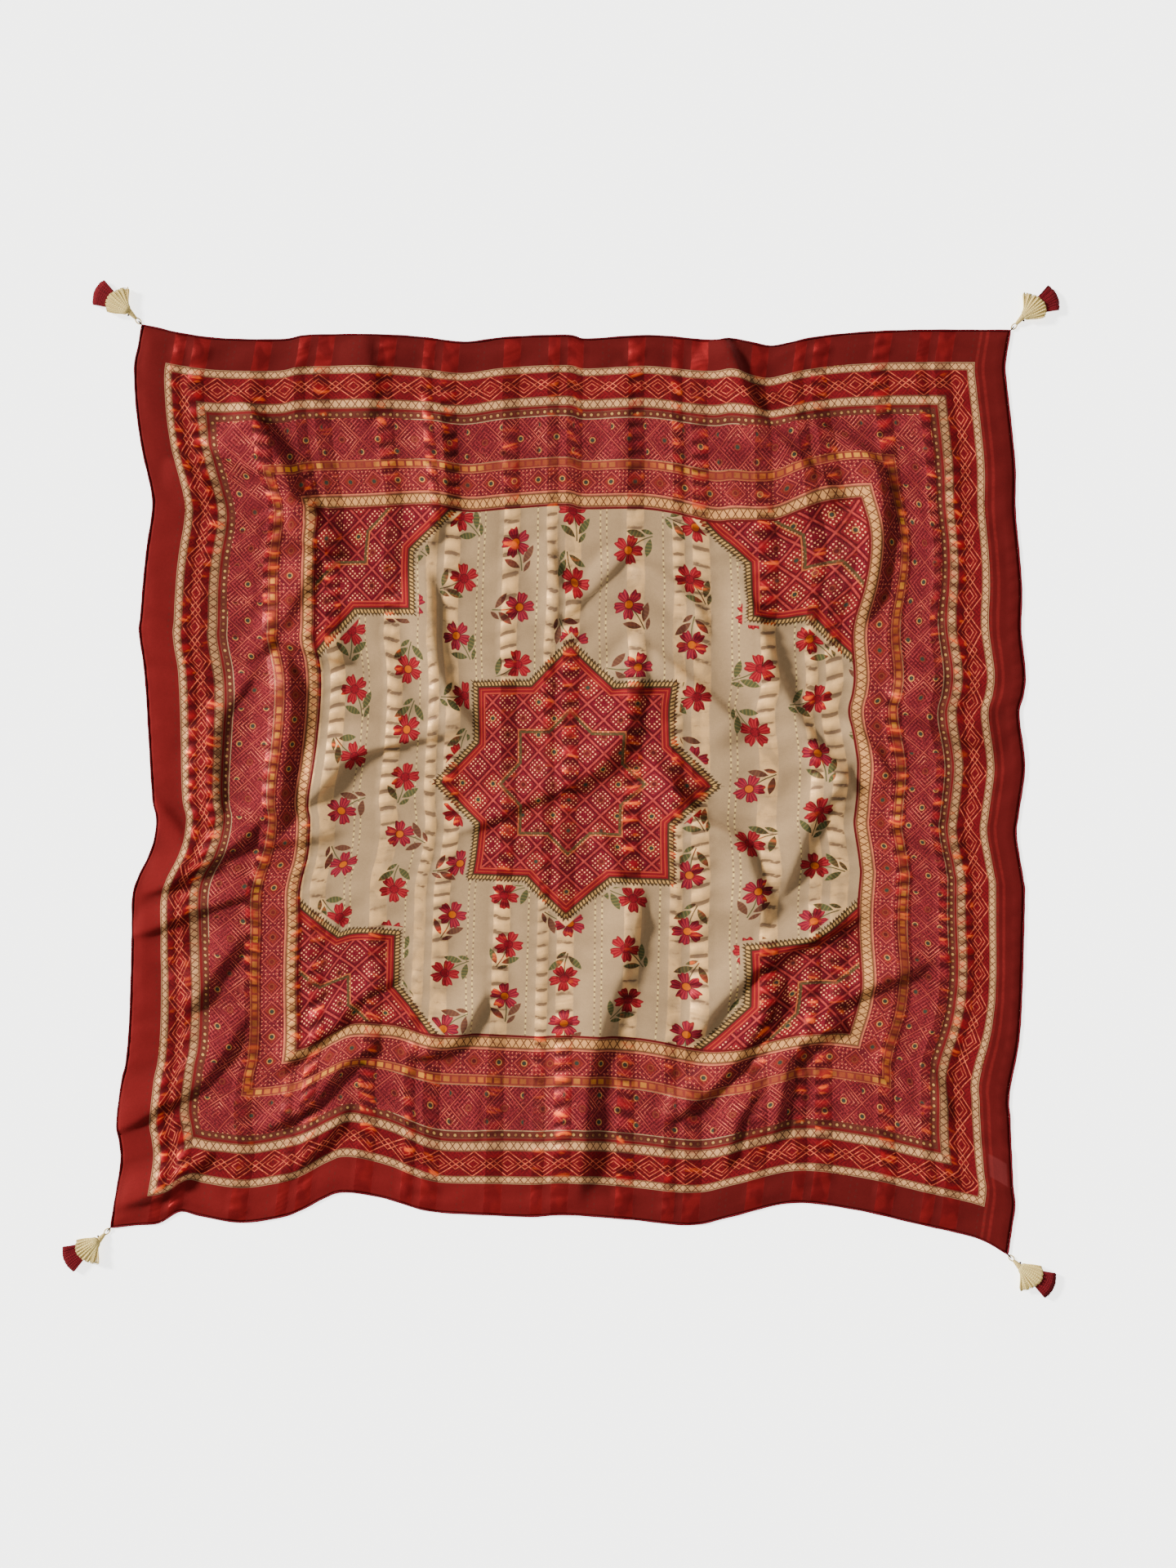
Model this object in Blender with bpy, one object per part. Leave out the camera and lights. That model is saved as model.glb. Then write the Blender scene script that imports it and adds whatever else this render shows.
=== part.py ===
"""A square scarf with a tassel at each corner, laid out flat.

Metres, +Z up. The scarf lies on the floor plane z = 0 as seen from above: +X is its right side and
+Y its top edge. The origin is at the middle of its outline, on the floor.
"""

import math

import bmesh
import bpy
import numpy as np

MM = 0.001

# The cut square and its wall
SIDE = 1000.0
WALL = 1.2
GRID_STEPS = 96
KEPT_SHARE = 0.17

# How each edge of the square lies on the floor, in millimetres, from one corner to the next
# Columns: x, y
EDGE_TOP = (
    (-454, 501), (-435, 497), (-413, 492), (-369, 486), (-303, 485), (-280, 489), (-258, 490), (-192, 490),
    (-148, 487), (-104, 482), (-59, 487), (7, 489), (29, 485), (96, 489), (162, 484), (184, 486),
    (206, 482), (228, 478), (250, 482), (273, 487), (317, 492), (383, 495), (487, 495),
)
EDGE_BOTTOM = (
    (-488, -477), (-458, -474), (-435, -472), (-413, -460), (-391, -465), (-347, -474), (-303, -470),
    (-280, -462), (-258, -450), (-236, -442), (-192, -446), (-148, -457), (-104, -461), (-37, -465),
    (7, -463), (74, -468), (140, -474), (184, -465), (250, -450), (317, -457), (383, -472), (450, -488),
    (484, -506),
)
EDGE_LEFT = (
    (-488, -477), (-484, -452), (-477, -408), (-478, -386), (-481, -364), (-476, -320), (-471, -297),
    (-467, -253), (-463, -165), (-462, -120), (-456, -98), (-445, -76), (-438, -54), (-436, -32), (-441, -10),
    (-447, 57), (-453, 123), (-459, 167), (-457, 189), (-450, 256), (-444, 300), (-445, 322), (-454, 366),
    (-460, 411), (-462, 455), (-458, 477), (-454, 501),
)
EDGE_RIGHT = (
    (484, -506), (489, -474), (492, -452), (490, -430), (488, -364), (486, -342), (488, -320), (495, -275),
    (498, -209), (501, -120), (499, -98), (492, -54), (494, -32), (501, 12), (501, 35), (496, 79), (501, 101),
    (503, 123), (499, 167), (500, 211), (496, 256), (492, 300), (492, 344), (488, 389), (483, 433), (481, 455),
    (484, 477), (487, 495),
)
# An edge's bends reach in whole to the first share of the side and have died out at the second
EDGE_REACH = (0.12, 0.55)

# Where the laid cloth is drawn aside from an even square, in millimetres
# Columns: u, v (place on the flat square, from its middle), reach along u, reach along v, shift x, shift y
PULLS = (
    (-306, 140, 130, 80, 11, 0), (-306, -45, 120, 70, -18, 0), (-306, -205, 100, 80, -5, 0),
    (310, 270, 80, 60, 20, 0), (310, -60, 130, 90, 11, 0), (310, -245, 110, 80, 11, 0),
    (-165, 306, 60, 80, 0, 7), (0, 306, 100, 90, 0, 7), (180, 306, 50, 90, 0, -9), (295, 306, 80, 80, 0, 13),
    (-60, -306, 130, 80, 0, 6), (90, -306, 70, 80, 0, 5), (205, -306, 60, 80, 0, -7),
    (-430, 300, 60, 60, 5, 0), (-430, 140, 60, 90, 5, 0), (-430, -150, 60, 90, -7, 0),
    (430, -210, 60, 70, 5, 0), (430, -360, 60, 70, -6, 0), (430, 200, 60, 40, -4, 0),
    (-285, -430, 90, 70, 0, 13), (-130, -430, 50, 60, 0, -6), (0, 430, 120, 50, 0, 4),
)

# The folds: soft ridges with a long side that faces the upper left and a short, steep side
# Columns: height, width of the long side, width of the steep side, points (x, y) along the fold's foot
FOLDS = (
    (11, 34, 10, ((-342, 419), (-301, 358), (-283, 313), (-257, 294))),
    (11, 32, 10, ((-382, 366), (-327, 335), (-301, 312), (-291, 273), (-245, 253))),
    (6, 25, 9, ((-420, 358), (-396, 340), (-376, 322))),
    (7, 28, 11, ((-261, 242), (-285, 203), (-305, 163), (-342, 132))),
    (8, 27, 9, ((-334, 173), (-294, 154), (-232, 135))),
    (5, 21, 8, ((-420, 145), (-403, 138), (-382, 126))),
    (8, 28, 10, ((-327, 127), (-363, 74), (-372, 30), (-367, -41))),
    (13, 38, 13, ((-292, 132), (-288, 74), (-296, 17), (-301, -45))),
    (12, 36, 12, ((-139, 220), (-133, 154), (-119, 101), (-93, 70))),
    (10, 30, 9, ((-267, -14), (-230, 26), (-186, 43), (-121, 55))),
    (8, 32, 11, ((-130, 411), (-124, 358), (-123, 304), (-132, 273))),
    (12, 36, 11, ((-102, -50), (-27, -16), (35, 12), (71, 50), (88, 105), (95, 163))),
    (6, 25, 9, ((42, 85), (69, 126), (75, 156))),
    (8, 28, 9, ((-11, 265), (0, 220), (-3, 172))),
    (8, 28, 9, ((73, 250), (35, 209), (3, 179))),
    (5, 27, 10, ((72, 455), (73, 393), (72, 331))),
    (12, 34, 10, ((181, 489), (211, 411), (257, 358), (296, 325))),
    (12, 36, 11, ((228, 406), (292, 384), (336, 356), (351, 313), (348, 251), (337, 194))),
    (7, 27, 9, ((78, 242), (113, 229), (144, 203), (162, 167))),
    (9, 28, 10, ((97, 154), (150, 110), (199, 64))),
    (12, 40, 12, ((208, 203), (239, 119), (274, 52), (319, -1))),
    (9, 28, 9, ((357, 96), (407, 65), (454, 43))),
    (7, 25, 9, ((312, 74), (339, 43), (361, 8))),
    (12, 36, 11, ((312, 12), (274, -41), (249, -107))),
    (12, 34, 10, ((111, 21), (150, -32), (195, -58), (215, -103), (224, -142))),
    (7, 25, 9, ((42, -42), (63, -81), (69, -120))),
    (13, 42, 14, ((91, -125), (75, -191), (53, -253), (36, -315), (29, -421))),
    (11, 32, 10, ((312, -149), (248, -178), (212, -200), (175, -235), (149, -271))),
    (11, 32, 10, ((243, -213), (204, -280), (168, -324), (119, -364))),
    (8, 27, 9, ((388, -198), (336, -219), (290, -244))),
    (9, 28, 10, ((304, -258), (255, -289), (242, -333), (235, -377))),
    (8, 28, 9, ((217, -324), (193, -364), (184, -408))),
    (7, 27, 9, ((361, -39), (396, -58), (429, -78))),
    (7, 27, 9, ((339, -284), (398, -299), (423, -355))),
    (12, 34, 10, ((-312, -19), (-345, -60), (-389, -89), (-440, -116))),
    (6, 25, 9, ((-438, -10), (-418, -36), (-400, -63))),
    (8, 27, 9, ((-332, -116), (-398, -138), (-456, -163))),
    (8, 28, 10, ((-342, -165), (-373, -204), (-394, -240))),
    (11, 32, 10, ((-345, -264), (-387, -322), (-434, -350), (-471, -373))),
    (11, 32, 10, ((-174, -209), (-212, -228), (-248, -264), (-298, -304))),
    (11, 32, 10, ((-199, -280), (-239, -308), (-266, -343), (-316, -372))),
    (11, 32, 10, ((-84, -235), (-112, -278), (-157, -296))),
    (8, 28, 10, ((-232, -355), (-263, -395), (-294, -426))),
    (10, 28, 9, ((-376, -399), (-422, -432), (-462, -452))),
    (6, 27, 9, ((-227, -129), (-243, -156), (-258, -178))),
    (5, 25, 9, ((-196, -242), (-165, -258), (-139, -275))),
    (6, 25, 9, ((-320, -67), (-285, -58), (-250, -54))),
    (6, 28, 10, ((-84, -324), (-86, -359), (-90, -395))),
    (6, 28, 10, ((-205, 477), (-201, 437), (-205, 393))),
    (5, 25, 9, ((193, 322), (211, 300), (233, 282))),
)
# The side that the steep flanks face
STEEP_SIDE = (0.8, -0.6)
# How far past its crest a fold's foot line runs, as a share of its steep side
FOOT_SHARE = 0.7
# How far a fold runs past its foot points, rises at each end, and reaches aside, in long sides
FOLD_RUN_OUT = 1.0
FOLD_RISE = 1.7
FOLD_MARGIN = 2.5
# The crest leans over its steep side by this share of its height
LEAN = 0.25
# Overlapping folds add up like this power's norm, and what stays lower than the lift or, once
# the sheet is thinned out, lower than the resting height lies flat on the floor
BLEND_POWER = 3.0
REST_LIFT = 1.9
RESTING = 0.3
# The slow swells between the folds: their heights, the lengths of their waves along x and y, and
# how far and how slowly the waves bend
SWELL_SLOW = 2.4
SLOW_WAVES = (66.0, 74.0)
SLOW_BENDS = ((1.3, 97.0), (1.1, 88.0))
SWELL_SLANT = 1.3
SLANT_WAVE = 43.0
SLANT_TILT = 0.6
SLANT_BEND = (1.2, 110.0)
# The folds pull the cloth no farther than this from its edge inwards
EDGE_HOLD = 30.0

# The care label lies under the right hem
LABEL_SIZE = (22.0, 25.0, 0.6)
LABEL_PLACE = (474.0, -415.0)
LABEL_CLEARANCE = 1.3
LABEL_MARGIN = 5.0
LABEL_SLOPE = 12.0

# The four tassels, in millimetres on the floor
# Columns: name, the cloth's corner (x, y), where the tassel's head starts (x, y), side of x, side of y
TASSELS = (
    ("top_left", (-454, 501), (-467.6, 515.3), -1, 1),
    ("top_right", (487, 495), (500.0, 509.4), 1, 1),
    ("bottom_left", (-488, -477), (-500.3, -490.4), -1, -1),
    ("bottom_right", (484, -506), (496.4, -519.0), 1, -1),
)
# Each tassel points this way, turned to its own corner
TASSEL_AXIS = (0.85, 0.527)
SEAT_GAP = 0.3

# Sizes of a tassel, in millimetres along it (a), across it (b) and up from the floor (z)
CORD_RADIUS = 0.6
# Columns: distance from the cloth's corner, height above the floor
CORD_PATH = ((0.5, 1.1), (1.2, 2.0), (2.4, 2.7), (3.8, 2.7), (5.0, 1.3))
EYE_WIRE = 0.6
EYE_LENGTH = 7.6
EYE_WIDTH = 4.6
EYE_START = 1.9
EYE_HEIGHT = 0.95
EYE_TURNS = 20
# Columns: share of the way from the eye to the head, radius
NECK_RINGS = ((0.0, 1.3), (0.15, 1.9), (0.45, 2.5), (0.8, 3.1), (1.0, 2.8))
NECK_HEIGHT = 3.4
NECK_CLEARANCE = 0.4
NECK_END = 1.0
KNOT_RADIUS = 1.1
KNOT_PLACE = (-1.3, -5.1, 3.0)
# Columns: a, half width, lowest, highest
CREAM_HEAD = ((0.4, 2.4, 1.6, 5.6), (1.8, 4.6, 0.7, 7.4), (5.0, 6.2, 0.5, 8.6))
RED_HEAD = ((9.0, 3.6, 3.0, 6.0), (10.0, 5.0, 2.6, 6.6), (12.0, 5.6, 2.4, 6.9))
ROOT_GAP = 0.16
# The cream locks' ends, from one side of the tassel to the other
# Columns: a, b, width
CREAM_ENDS = (
    (20.5, -12.4, 3.0), (23.2, -9.0, 3.2), (25.2, -5.4, 3.4), (26.6, -1.5, 3.4), (26.8, 2.6, 3.4),
    (25.6, 6.6, 3.4), (23.6, 10.8, 3.4), (20.0, 15.6, 3.6), (14.6, 20.6, 4.2),
)
# Heights of a cream lock's middle line at its bend and its end, over and under the red tuft
CREAM_OVER = (8.6, 8.0)
CREAM_UNDER = (1.1, 1.0)
CREAM_BESIDE = (4.6, 3.6)
CREAM_THICKNESS = 1.2
# The locks beside the red tuft end this much nearer to the head and farther out
CREAM_BESIDE_SHIFT = (-3.0, 1.0)
# Places of a cream lock's bend and of its last turn, as shares of its way along and across
CREAM_BEND = (0.3, 0.38)
CREAM_LATE = (0.7, 0.76)
# A cream lock's width at its bend, its last turn and its end
CREAM_WIDENING = (0.42, 0.78, 1.0)
# The red fan: half its width at the ends, its farthest reach, and how far its ends curve back
RED_HALF_WIDTH = 14.2
RED_REACH = 43.4
RED_CURVE = 0.021
RED_LEAD = 3.0
RED_COLUMNS = 9
# Heights of the two layers' middle lines at the bend and at the ends
RED_LAYERS = ((3.5, 1.7), (5.8, 4.3))
RED_THICKNESS = 1.9
RED_BEND = (0.45, 0.42)
RED_WIDENING = (0.6, 0.88)

# Colours, roughness and metallic value of each finish
FINISHES = {
    "printed_cloth": ((0.42, 0.09, 0.06), 0.55, 0.0),
    "cream_thread": ((0.66, 0.53, 0.33), 0.75, 0.0),
    "red_thread": ((0.20, 0.012, 0.016), 0.7, 0.0),
    "dark_cord": ((0.06, 0.01, 0.012), 0.7, 0.0),
    "label": ((0.7, 0.62, 0.55), 0.8, 0.0),
}


def clear_scene():
    for item in list(bpy.data.objects):
        bpy.data.objects.remove(item)


def finish(name):
    """A Principled material of its own for one object."""
    color, roughness, metallic = FINISHES[name]
    material = bpy.data.materials.new(name)
    material.use_nodes = True
    shader = material.node_tree.nodes["Principled BSDF"]
    shader.inputs["Base Color"].default_value = (*color, 1.0)
    shader.inputs["Roughness"].default_value = roughness
    shader.inputs["Metallic"].default_value = metallic
    return material


def add_object(name, mesh, finish_name):
    item = bpy.data.objects.new(name, mesh)
    item.data.materials.append(finish(finish_name))
    bpy.context.scene.collection.objects.link(item)
    return item


def object_from_bmesh(name, bm, finish_name):
    bmesh.ops.recalc_face_normals(bm, faces=bm.faces)
    mesh = bpy.data.meshes.new(name)
    bm.to_mesh(mesh)
    bm.free()
    return add_object(name, mesh, finish_name)


# Curves through the rows of a table


def smooth_curve(rows, steps=12):
    """Points along a Catmull-Rom curve through the rows."""
    points = np.array(rows, float)
    first = 2 * points[0] - points[1]
    last = 2 * points[-1] - points[-2]
    points = np.vstack([first, points, last])
    share = np.linspace(0, 1, steps, endpoint=False)[:, None]
    pieces = []
    for a, b, c, d in zip(points, points[1:], points[2:], points[3:]):
        cubic = (3 * b - a - 3 * c + d) * share**3
        square = (2 * a - 5 * b + 4 * c - d) * share**2
        pieces.append(0.5 * (2 * b + (c - a) * share + square + cubic))
    pieces.append(points[-2:-1])
    return np.vstack(pieces)


def along(rows, share):
    """The points at these shares of a curve's length."""
    curve = smooth_curve(rows)
    lengths = np.hypot(*np.diff(curve, axis=0).T)
    reach = np.concatenate([[0], np.cumsum(lengths)])
    reach /= reach[-1]
    return np.stack([np.interp(share, reach, curve[:, 0]), np.interp(share, reach, curve[:, 1])], -1)


def smoothstep(x):
    x = np.clip(x, 0, 1)
    return x * x * (3 - 2 * x)


# The cloth


def edge_share(distance):
    near, far = EDGE_REACH
    return smoothstep((far - distance) / (far - near))


def plan(u, v):
    """Where points of the flat square lie on the floor, before the folds lift them."""
    s = (u / SIDE + 0.5)[..., None]
    t = (v / SIDE + 0.5)[..., None]
    bottom_left, bottom_right = np.array(EDGE_BOTTOM[0]), np.array(EDGE_BOTTOM[-1])
    top_left, top_right = np.array(EDGE_TOP[0]), np.array(EDGE_TOP[-1])
    low = (1 - s) * bottom_left + s * bottom_right
    high = (1 - s) * top_left + s * top_right
    left = (1 - t) * bottom_left + t * top_left
    right = (1 - t) * bottom_right + t * top_right
    place = (1 - t) * low + t * high
    place = place + (along(EDGE_BOTTOM, s[..., 0]) - low) * edge_share(t)
    place = place + (along(EDGE_TOP, s[..., 0]) - high) * edge_share(1 - t)
    place = place + (along(EDGE_LEFT, t[..., 0]) - left) * edge_share(s)
    place = place + (along(EDGE_RIGHT, t[..., 0]) - right) * edge_share(1 - s)
    for middle_u, middle_v, reach_u, reach_v, shift_x, shift_y in PULLS:
        weight = np.exp(-(((u - middle_u) / reach_u) ** 2) - ((v - middle_v) / reach_v) ** 2)
        place = place + weight[..., None] * np.array((shift_x, shift_y))
    return place


def nearest_on(curve, points):
    """Each point's offset from a curve, the curve's heading there, and the lengths to its two ends."""
    steps = np.diff(curve, axis=0)
    lengths = np.linalg.norm(steps, axis=1)
    headings = steps / lengths[:, None]
    offsets = points[:, None, :] - curve[None, :-1, :]
    reach = np.clip((offsets * headings).sum(-1), 0, lengths)
    gaps = offsets - reach[..., None] * headings
    nearest = np.argmin((gaps**2).sum(-1), axis=1)
    chosen = (np.arange(len(points)), nearest)
    starts = np.cumsum(lengths) - lengths
    done = starts[nearest] + reach[chosen]
    return gaps[chosen], headings[nearest], done, lengths.sum() - done


def run_out(curve, length):
    """The curve with a straight length more at each end."""
    first = curve[0] - curve[1]
    last = curve[-1] - curve[-2]
    first = curve[0] + length * first / np.linalg.norm(first)
    last = curve[-1] + length * last / np.linalg.norm(last)
    return np.vstack([first, curve, last])


def fold_height(place, height, long_side, steep_side, foot):
    """One fold's height at each place, and the direction towards its steep side."""
    curve = run_out(smooth_curve(foot, 6), FOLD_RUN_OUT * long_side)
    chord = curve[-1] - curve[0]
    side = 1.0 if chord[1] * STEEP_SIDE[0] - chord[0] * STEEP_SIDE[1] > 0 else -1.0
    margin = FOLD_MARGIN * long_side
    near = np.all((place > curve.min(0) - margin) & (place < curve.max(0) + margin), axis=-1)
    lift = np.zeros(place.shape[:-1])
    lean = np.zeros(place.shape)
    gap, heading, done, ahead = nearest_on(curve, place[near])
    away = side * np.stack([heading[:, 1], -heading[:, 0]], -1)
    across = (gap * away).sum(-1) + FOOT_SHARE * steep_side
    ends = smoothstep(np.minimum(done, ahead) / (FOLD_RISE * long_side))
    width = np.where(across < 0, long_side, steep_side) * (1 + ends) / 2
    beyond = (gap * heading).sum(-1) / steep_side
    value = height * ends * np.exp(-((across / width) ** 2) - beyond**2)
    lift[near] = value
    lean[near] = away * value[:, None]
    return lift, lean


def swell(place):
    """The slow rise and fall of the cloth between its folds."""
    x, y = place[..., 0], place[..., 1]
    (bend_x, bend_x_wave), (bend_y, bend_y_wave) = SLOW_BENDS
    slow_x = np.sin(x / SLOW_WAVES[0] + bend_x * np.sin(y / bend_x_wave))
    slow_y = np.cos(y / SLOW_WAVES[1] + bend_y * np.sin(x / bend_y_wave))
    bend = SLANT_BEND[0] * np.sin((y - x) / SLANT_BEND[1])
    slant = np.sin((x + SLANT_TILT * y) / SLANT_WAVE + bend)
    return SWELL_SLOW * slow_x * slow_y + SWELL_SLANT * slant


def lay(u, v):
    """Where points of the flat square lie in the laid scarf, in millimetres."""
    place = plan(u, v)
    total = np.zeros(u.shape)
    lean = np.zeros(place.shape)
    for fold in FOLDS:
        lift, drift = fold_height(place, *fold)
        total += lift**BLEND_POWER
        lean += drift
    lift = total ** (1 / BLEND_POWER) + swell(place)
    lift = np.maximum(lift - REST_LIFT, 0)
    out = np.abs(place - np.array(LABEL_PLACE)) - np.array(LABEL_SIZE[:2]) / 2 - LABEL_MARGIN
    over_label = 1 - smoothstep(np.max(out, axis=-1) / LABEL_SLOPE)
    lift = np.maximum(lift, LABEL_CLEARANCE * over_label)
    edge = SIDE / 2 - np.maximum(np.abs(u), np.abs(v))
    place = place + LEAN * lean * smoothstep(edge / EDGE_HOLD)[..., None]
    return np.concatenate([place, lift[..., None]], -1)


def thin_out(cloth):
    """Takes away most of the sheet's faces, and sets what nearly touches the floor flat on it."""
    fewer = cloth.modifiers.new("fewer_faces", "DECIMATE")
    fewer.ratio = KEPT_SHARE
    depsgraph = bpy.context.evaluated_depsgraph_get()
    mesh = bpy.data.meshes.new_from_object(cloth.evaluated_get(depsgraph))
    cloth.modifiers.remove(fewer)
    for vert in mesh.vertices:
        if vert.co.z < RESTING * MM:
            vert.co.z = 0
    cloth.data = mesh


def make_cloth():
    """The square as one wall of cloth. The sheet is its underside, and the wall stands up from it."""
    steps = np.linspace(-SIDE / 2, SIDE / 2, GRID_STEPS + 1)
    u, v = np.meshgrid(steps, steps)
    points = lay(u, v).reshape(-1, 3) * MM
    row = GRID_STEPS + 1
    corners = [j * row + i for j in range(GRID_STEPS) for i in range(GRID_STEPS)]
    faces = [(k, k + 1, k + row + 1, k + row) for k in corners]
    mesh = bpy.data.meshes.new("scarf_cloth")
    mesh.from_pydata(points.tolist(), [], faces)
    cloth = add_object("scarf_cloth", mesh, "printed_cloth")
    thin_out(cloth)
    wall = cloth.modifiers.new("wall", "SOLIDIFY")
    wall.thickness = WALL * MM
    wall.offset = 1.0
    return cloth


def make_label():
    """The blank care label, flat on the floor under the hem."""
    bm = bmesh.new()
    bmesh.ops.create_cube(bm, size=1.0)
    bmesh.ops.scale(bm, vec=[size * MM for size in LABEL_SIZE], verts=bm.verts)
    middle = (LABEL_PLACE[0] * MM, LABEL_PLACE[1] * MM, LABEL_SIZE[2] / 2 * MM)
    bmesh.ops.translate(bm, vec=middle, verts=bm.verts)
    return object_from_bmesh("care_label", bm, "label")


# The tassels


class Layout:
    """Turns places along, across and above a tassel into places on the laid scarf."""

    def __init__(self, corner, head, side_x, side_y):
        self.corner = np.array(corner, float)
        self.head = np.array(head, float)
        self.axis = np.array((TASSEL_AXIS[0] * side_x, TASSEL_AXIS[1] * side_y))
        self.across = np.array((-TASSEL_AXIS[1] * side_x, TASSEL_AXIS[0] * side_y))

    def at(self, a, b, z):
        x, y = self.head + a * self.axis + b * self.across
        return (x * MM, y * MM, z * MM)

    def between(self, distance, b, z):
        """A place at a distance from the cloth's corner on the way to the head."""
        way = self.head - self.corner
        way = way / np.linalg.norm(way)
        x, y = self.corner + distance * way + b * np.array((-way[1], way[0]))
        return (x * MM, y * MM, z * MM)

    def way_length(self):
        return float(np.linalg.norm(self.head - self.corner))


def tube(bm, centres, radii, sides=8, closed=False):
    """A round tube through the centres, with flat caps where it isn't closed."""
    centres = np.array(centres, float)
    if closed:
        tangents = np.roll(centres, -1, axis=0) - np.roll(centres, 1, axis=0)
    else:
        tangents = np.gradient(centres, axis=0)
    rings = []
    for centre, tangent, radius in zip(centres, tangents, radii):
        forward = tangent / np.linalg.norm(tangent)
        level = np.cross((0.0, 0.0, 1.0), forward)
        level /= np.linalg.norm(level)
        upward = np.cross(forward, level)
        ring = []
        for k in range(sides):
            angle = 2 * math.pi * k / sides
            spot = centre + radius * (math.cos(angle) * level + math.sin(angle) * upward)
            ring.append(bm.verts.new(spot))
        rings.append(ring)
    pairs = list(zip(rings, rings[1:]))
    if closed:
        pairs.append((rings[-1], rings[0]))
    else:
        bm.faces.new(rings[0])
        bm.faces.new(rings[-1])
    for first, second in pairs:
        for k in range(sides):
            after = (k + 1) % sides
            bm.faces.new((first[k], first[after], second[after], second[k]))


def make_cord(name, layout):
    """The short dark cord from the cloth's corner over the eye's wire and down into it."""
    path = [layout.between(distance, 0, height) for distance, height in CORD_PATH]
    bm = bmesh.new()
    tube(bm, path, [CORD_RADIUS * MM] * len(path), 8)
    return object_from_bmesh(name + "_cord", bm, "dark_cord")


def make_eye(name, layout):
    """The cream loop that the cord holds the tassel by."""
    path = []
    for k in range(EYE_TURNS):
        angle = 2 * math.pi * k / EYE_TURNS
        distance = EYE_START + EYE_LENGTH / 2 * (1 - math.cos(angle))
        path.append(layout.between(distance, EYE_WIDTH / 2 * math.sin(angle), EYE_HEIGHT))
    bm = bmesh.new()
    tube(bm, path, [EYE_WIRE * MM] * EYE_TURNS, 6, closed=True)
    return object_from_bmesh(name + "_eye", bm, "cream_thread")


def make_neck(name, layout):
    """The whipped neck between the eye and the head."""
    start = EYE_START + EYE_LENGTH + EYE_WIRE + SEAT_GAP
    length = layout.way_length() - start - NECK_END
    path = []
    radii = []
    for share, radius in NECK_RINGS:
        sink = (1 - share) * (NECK_HEIGHT - radius - NECK_CLEARANCE)
        path.append(layout.between(start + share * length, 0, NECK_HEIGHT - sink))
        radii.append(radius * MM)
    bm = bmesh.new()
    tube(bm, path, radii, 12)
    item = object_from_bmesh(name + "_neck", bm, "cream_thread")
    item.data.shade_smooth()
    return item


def make_knot(name, layout):
    """The dark knot beside the place where the neck meets the head."""
    bm = bmesh.new()
    bmesh.ops.create_icosphere(bm, subdivisions=1, radius=KNOT_RADIUS * MM)
    bmesh.ops.translate(bm, vec=layout.at(*KNOT_PLACE), verts=bm.verts)
    item = object_from_bmesh(name + "_knot", bm, "dark_cord")
    item.data.shade_smooth()
    return item


def head_block(bm, layout, rings, columns, rows):
    """A flattened block lofted through rings, whose front is a grid. Returns the grid's faces by cell."""

    def spot(a, half, low, high, column, row):
        share = 2 * column / columns - 1
        b = half * share
        bow = math.sqrt(1 - (0.8 * share) ** 2)
        middle = (low + high) / 2
        z = middle + (high - low) / 2 * bow * (2 * row / rows - 1)
        return layout.at(a, b, z)

    sheets = []
    for a, half, low, high in rings:
        inner = a in (rings[0][0], rings[-1][0])
        sheet = {}
        for column in range(columns + 1):
            for row in range(rows + 1):
                on_rim = column in (0, columns) or row in (0, rows)
                if inner or on_rim:
                    sheet[column, row] = bm.verts.new(spot(a, half, low, high, column, row))
        sheets.append(sheet)
    rim = [(c, 0) for c in range(columns)] + [(columns, r) for r in range(rows)]
    rim += [(c, rows) for c in range(columns, 0, -1)] + [(0, r) for r in range(rows, 0, -1)]
    for back, front in zip(sheets, sheets[1:]):
        for first, second in zip(rim, rim[1:] + rim[:1]):
            bm.faces.new((back[first], back[second], front[second], front[first]))
    cells = {}
    for sheet, is_front in ((sheets[0], False), (sheets[-1], True)):
        for column in range(columns):
            for row in range(rows):
                ring = [(column, row), (column + 1, row), (column + 1, row + 1), (column, row + 1)]
                face = bm.faces.new([sheet[key] for key in ring])
                if is_front:
                    cells[column, row] = face
    bm.normal_update()
    return cells


def grow_lock(bm, layout, face, path, widths, thicknesses):
    """Draws one face of a head out into a lock that stands apart from its neighbours."""
    bmesh.ops.inset_individual(bm, faces=[face], thickness=ROOT_GAP * MM)
    middle = face.calc_center_median()
    across = np.array((*layout.across, 0.0))
    signs = []
    for vert in face.verts:
        offset = np.array(vert.co - middle)
        signs.append((1 if offset @ across > 0 else -1, 1 if offset[2] > 0 else -1))
    for k in range(1, len(path)):
        grown = bmesh.ops.extrude_discrete_faces(bm, faces=[face])["faces"][0]
        back = np.array(path[k - 1])
        front = np.array(path[min(k + 1, len(path) - 1)])
        heading = (front - back)[:2]
        heading /= np.linalg.norm(heading)
        for vert, (side, above) in zip(grown.verts, signs):
            a, b, z = path[k]
            a -= side * heading[1] * widths[k] / 2
            b += side * heading[0] * widths[k] / 2
            vert.co = layout.at(a, b, z + above * thicknesses[k] / 2)
        face = grown


def cell_place(layout, face):
    """The middle of a head's face, along, across and above the tassel."""
    x, y, z = face.calc_center_median() / MM
    offset = np.array((x, y)) - layout.head
    return (float(offset @ layout.axis), float(offset @ layout.across), z)


def part_way(root, end, shares, height):
    """A place some way from a lock's root to its end."""
    a = root[0] + shares[0] * (end[0] - root[0])
    b = root[1] + shares[1] * (end[1] - root[1])
    return (a, b, height)


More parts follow.
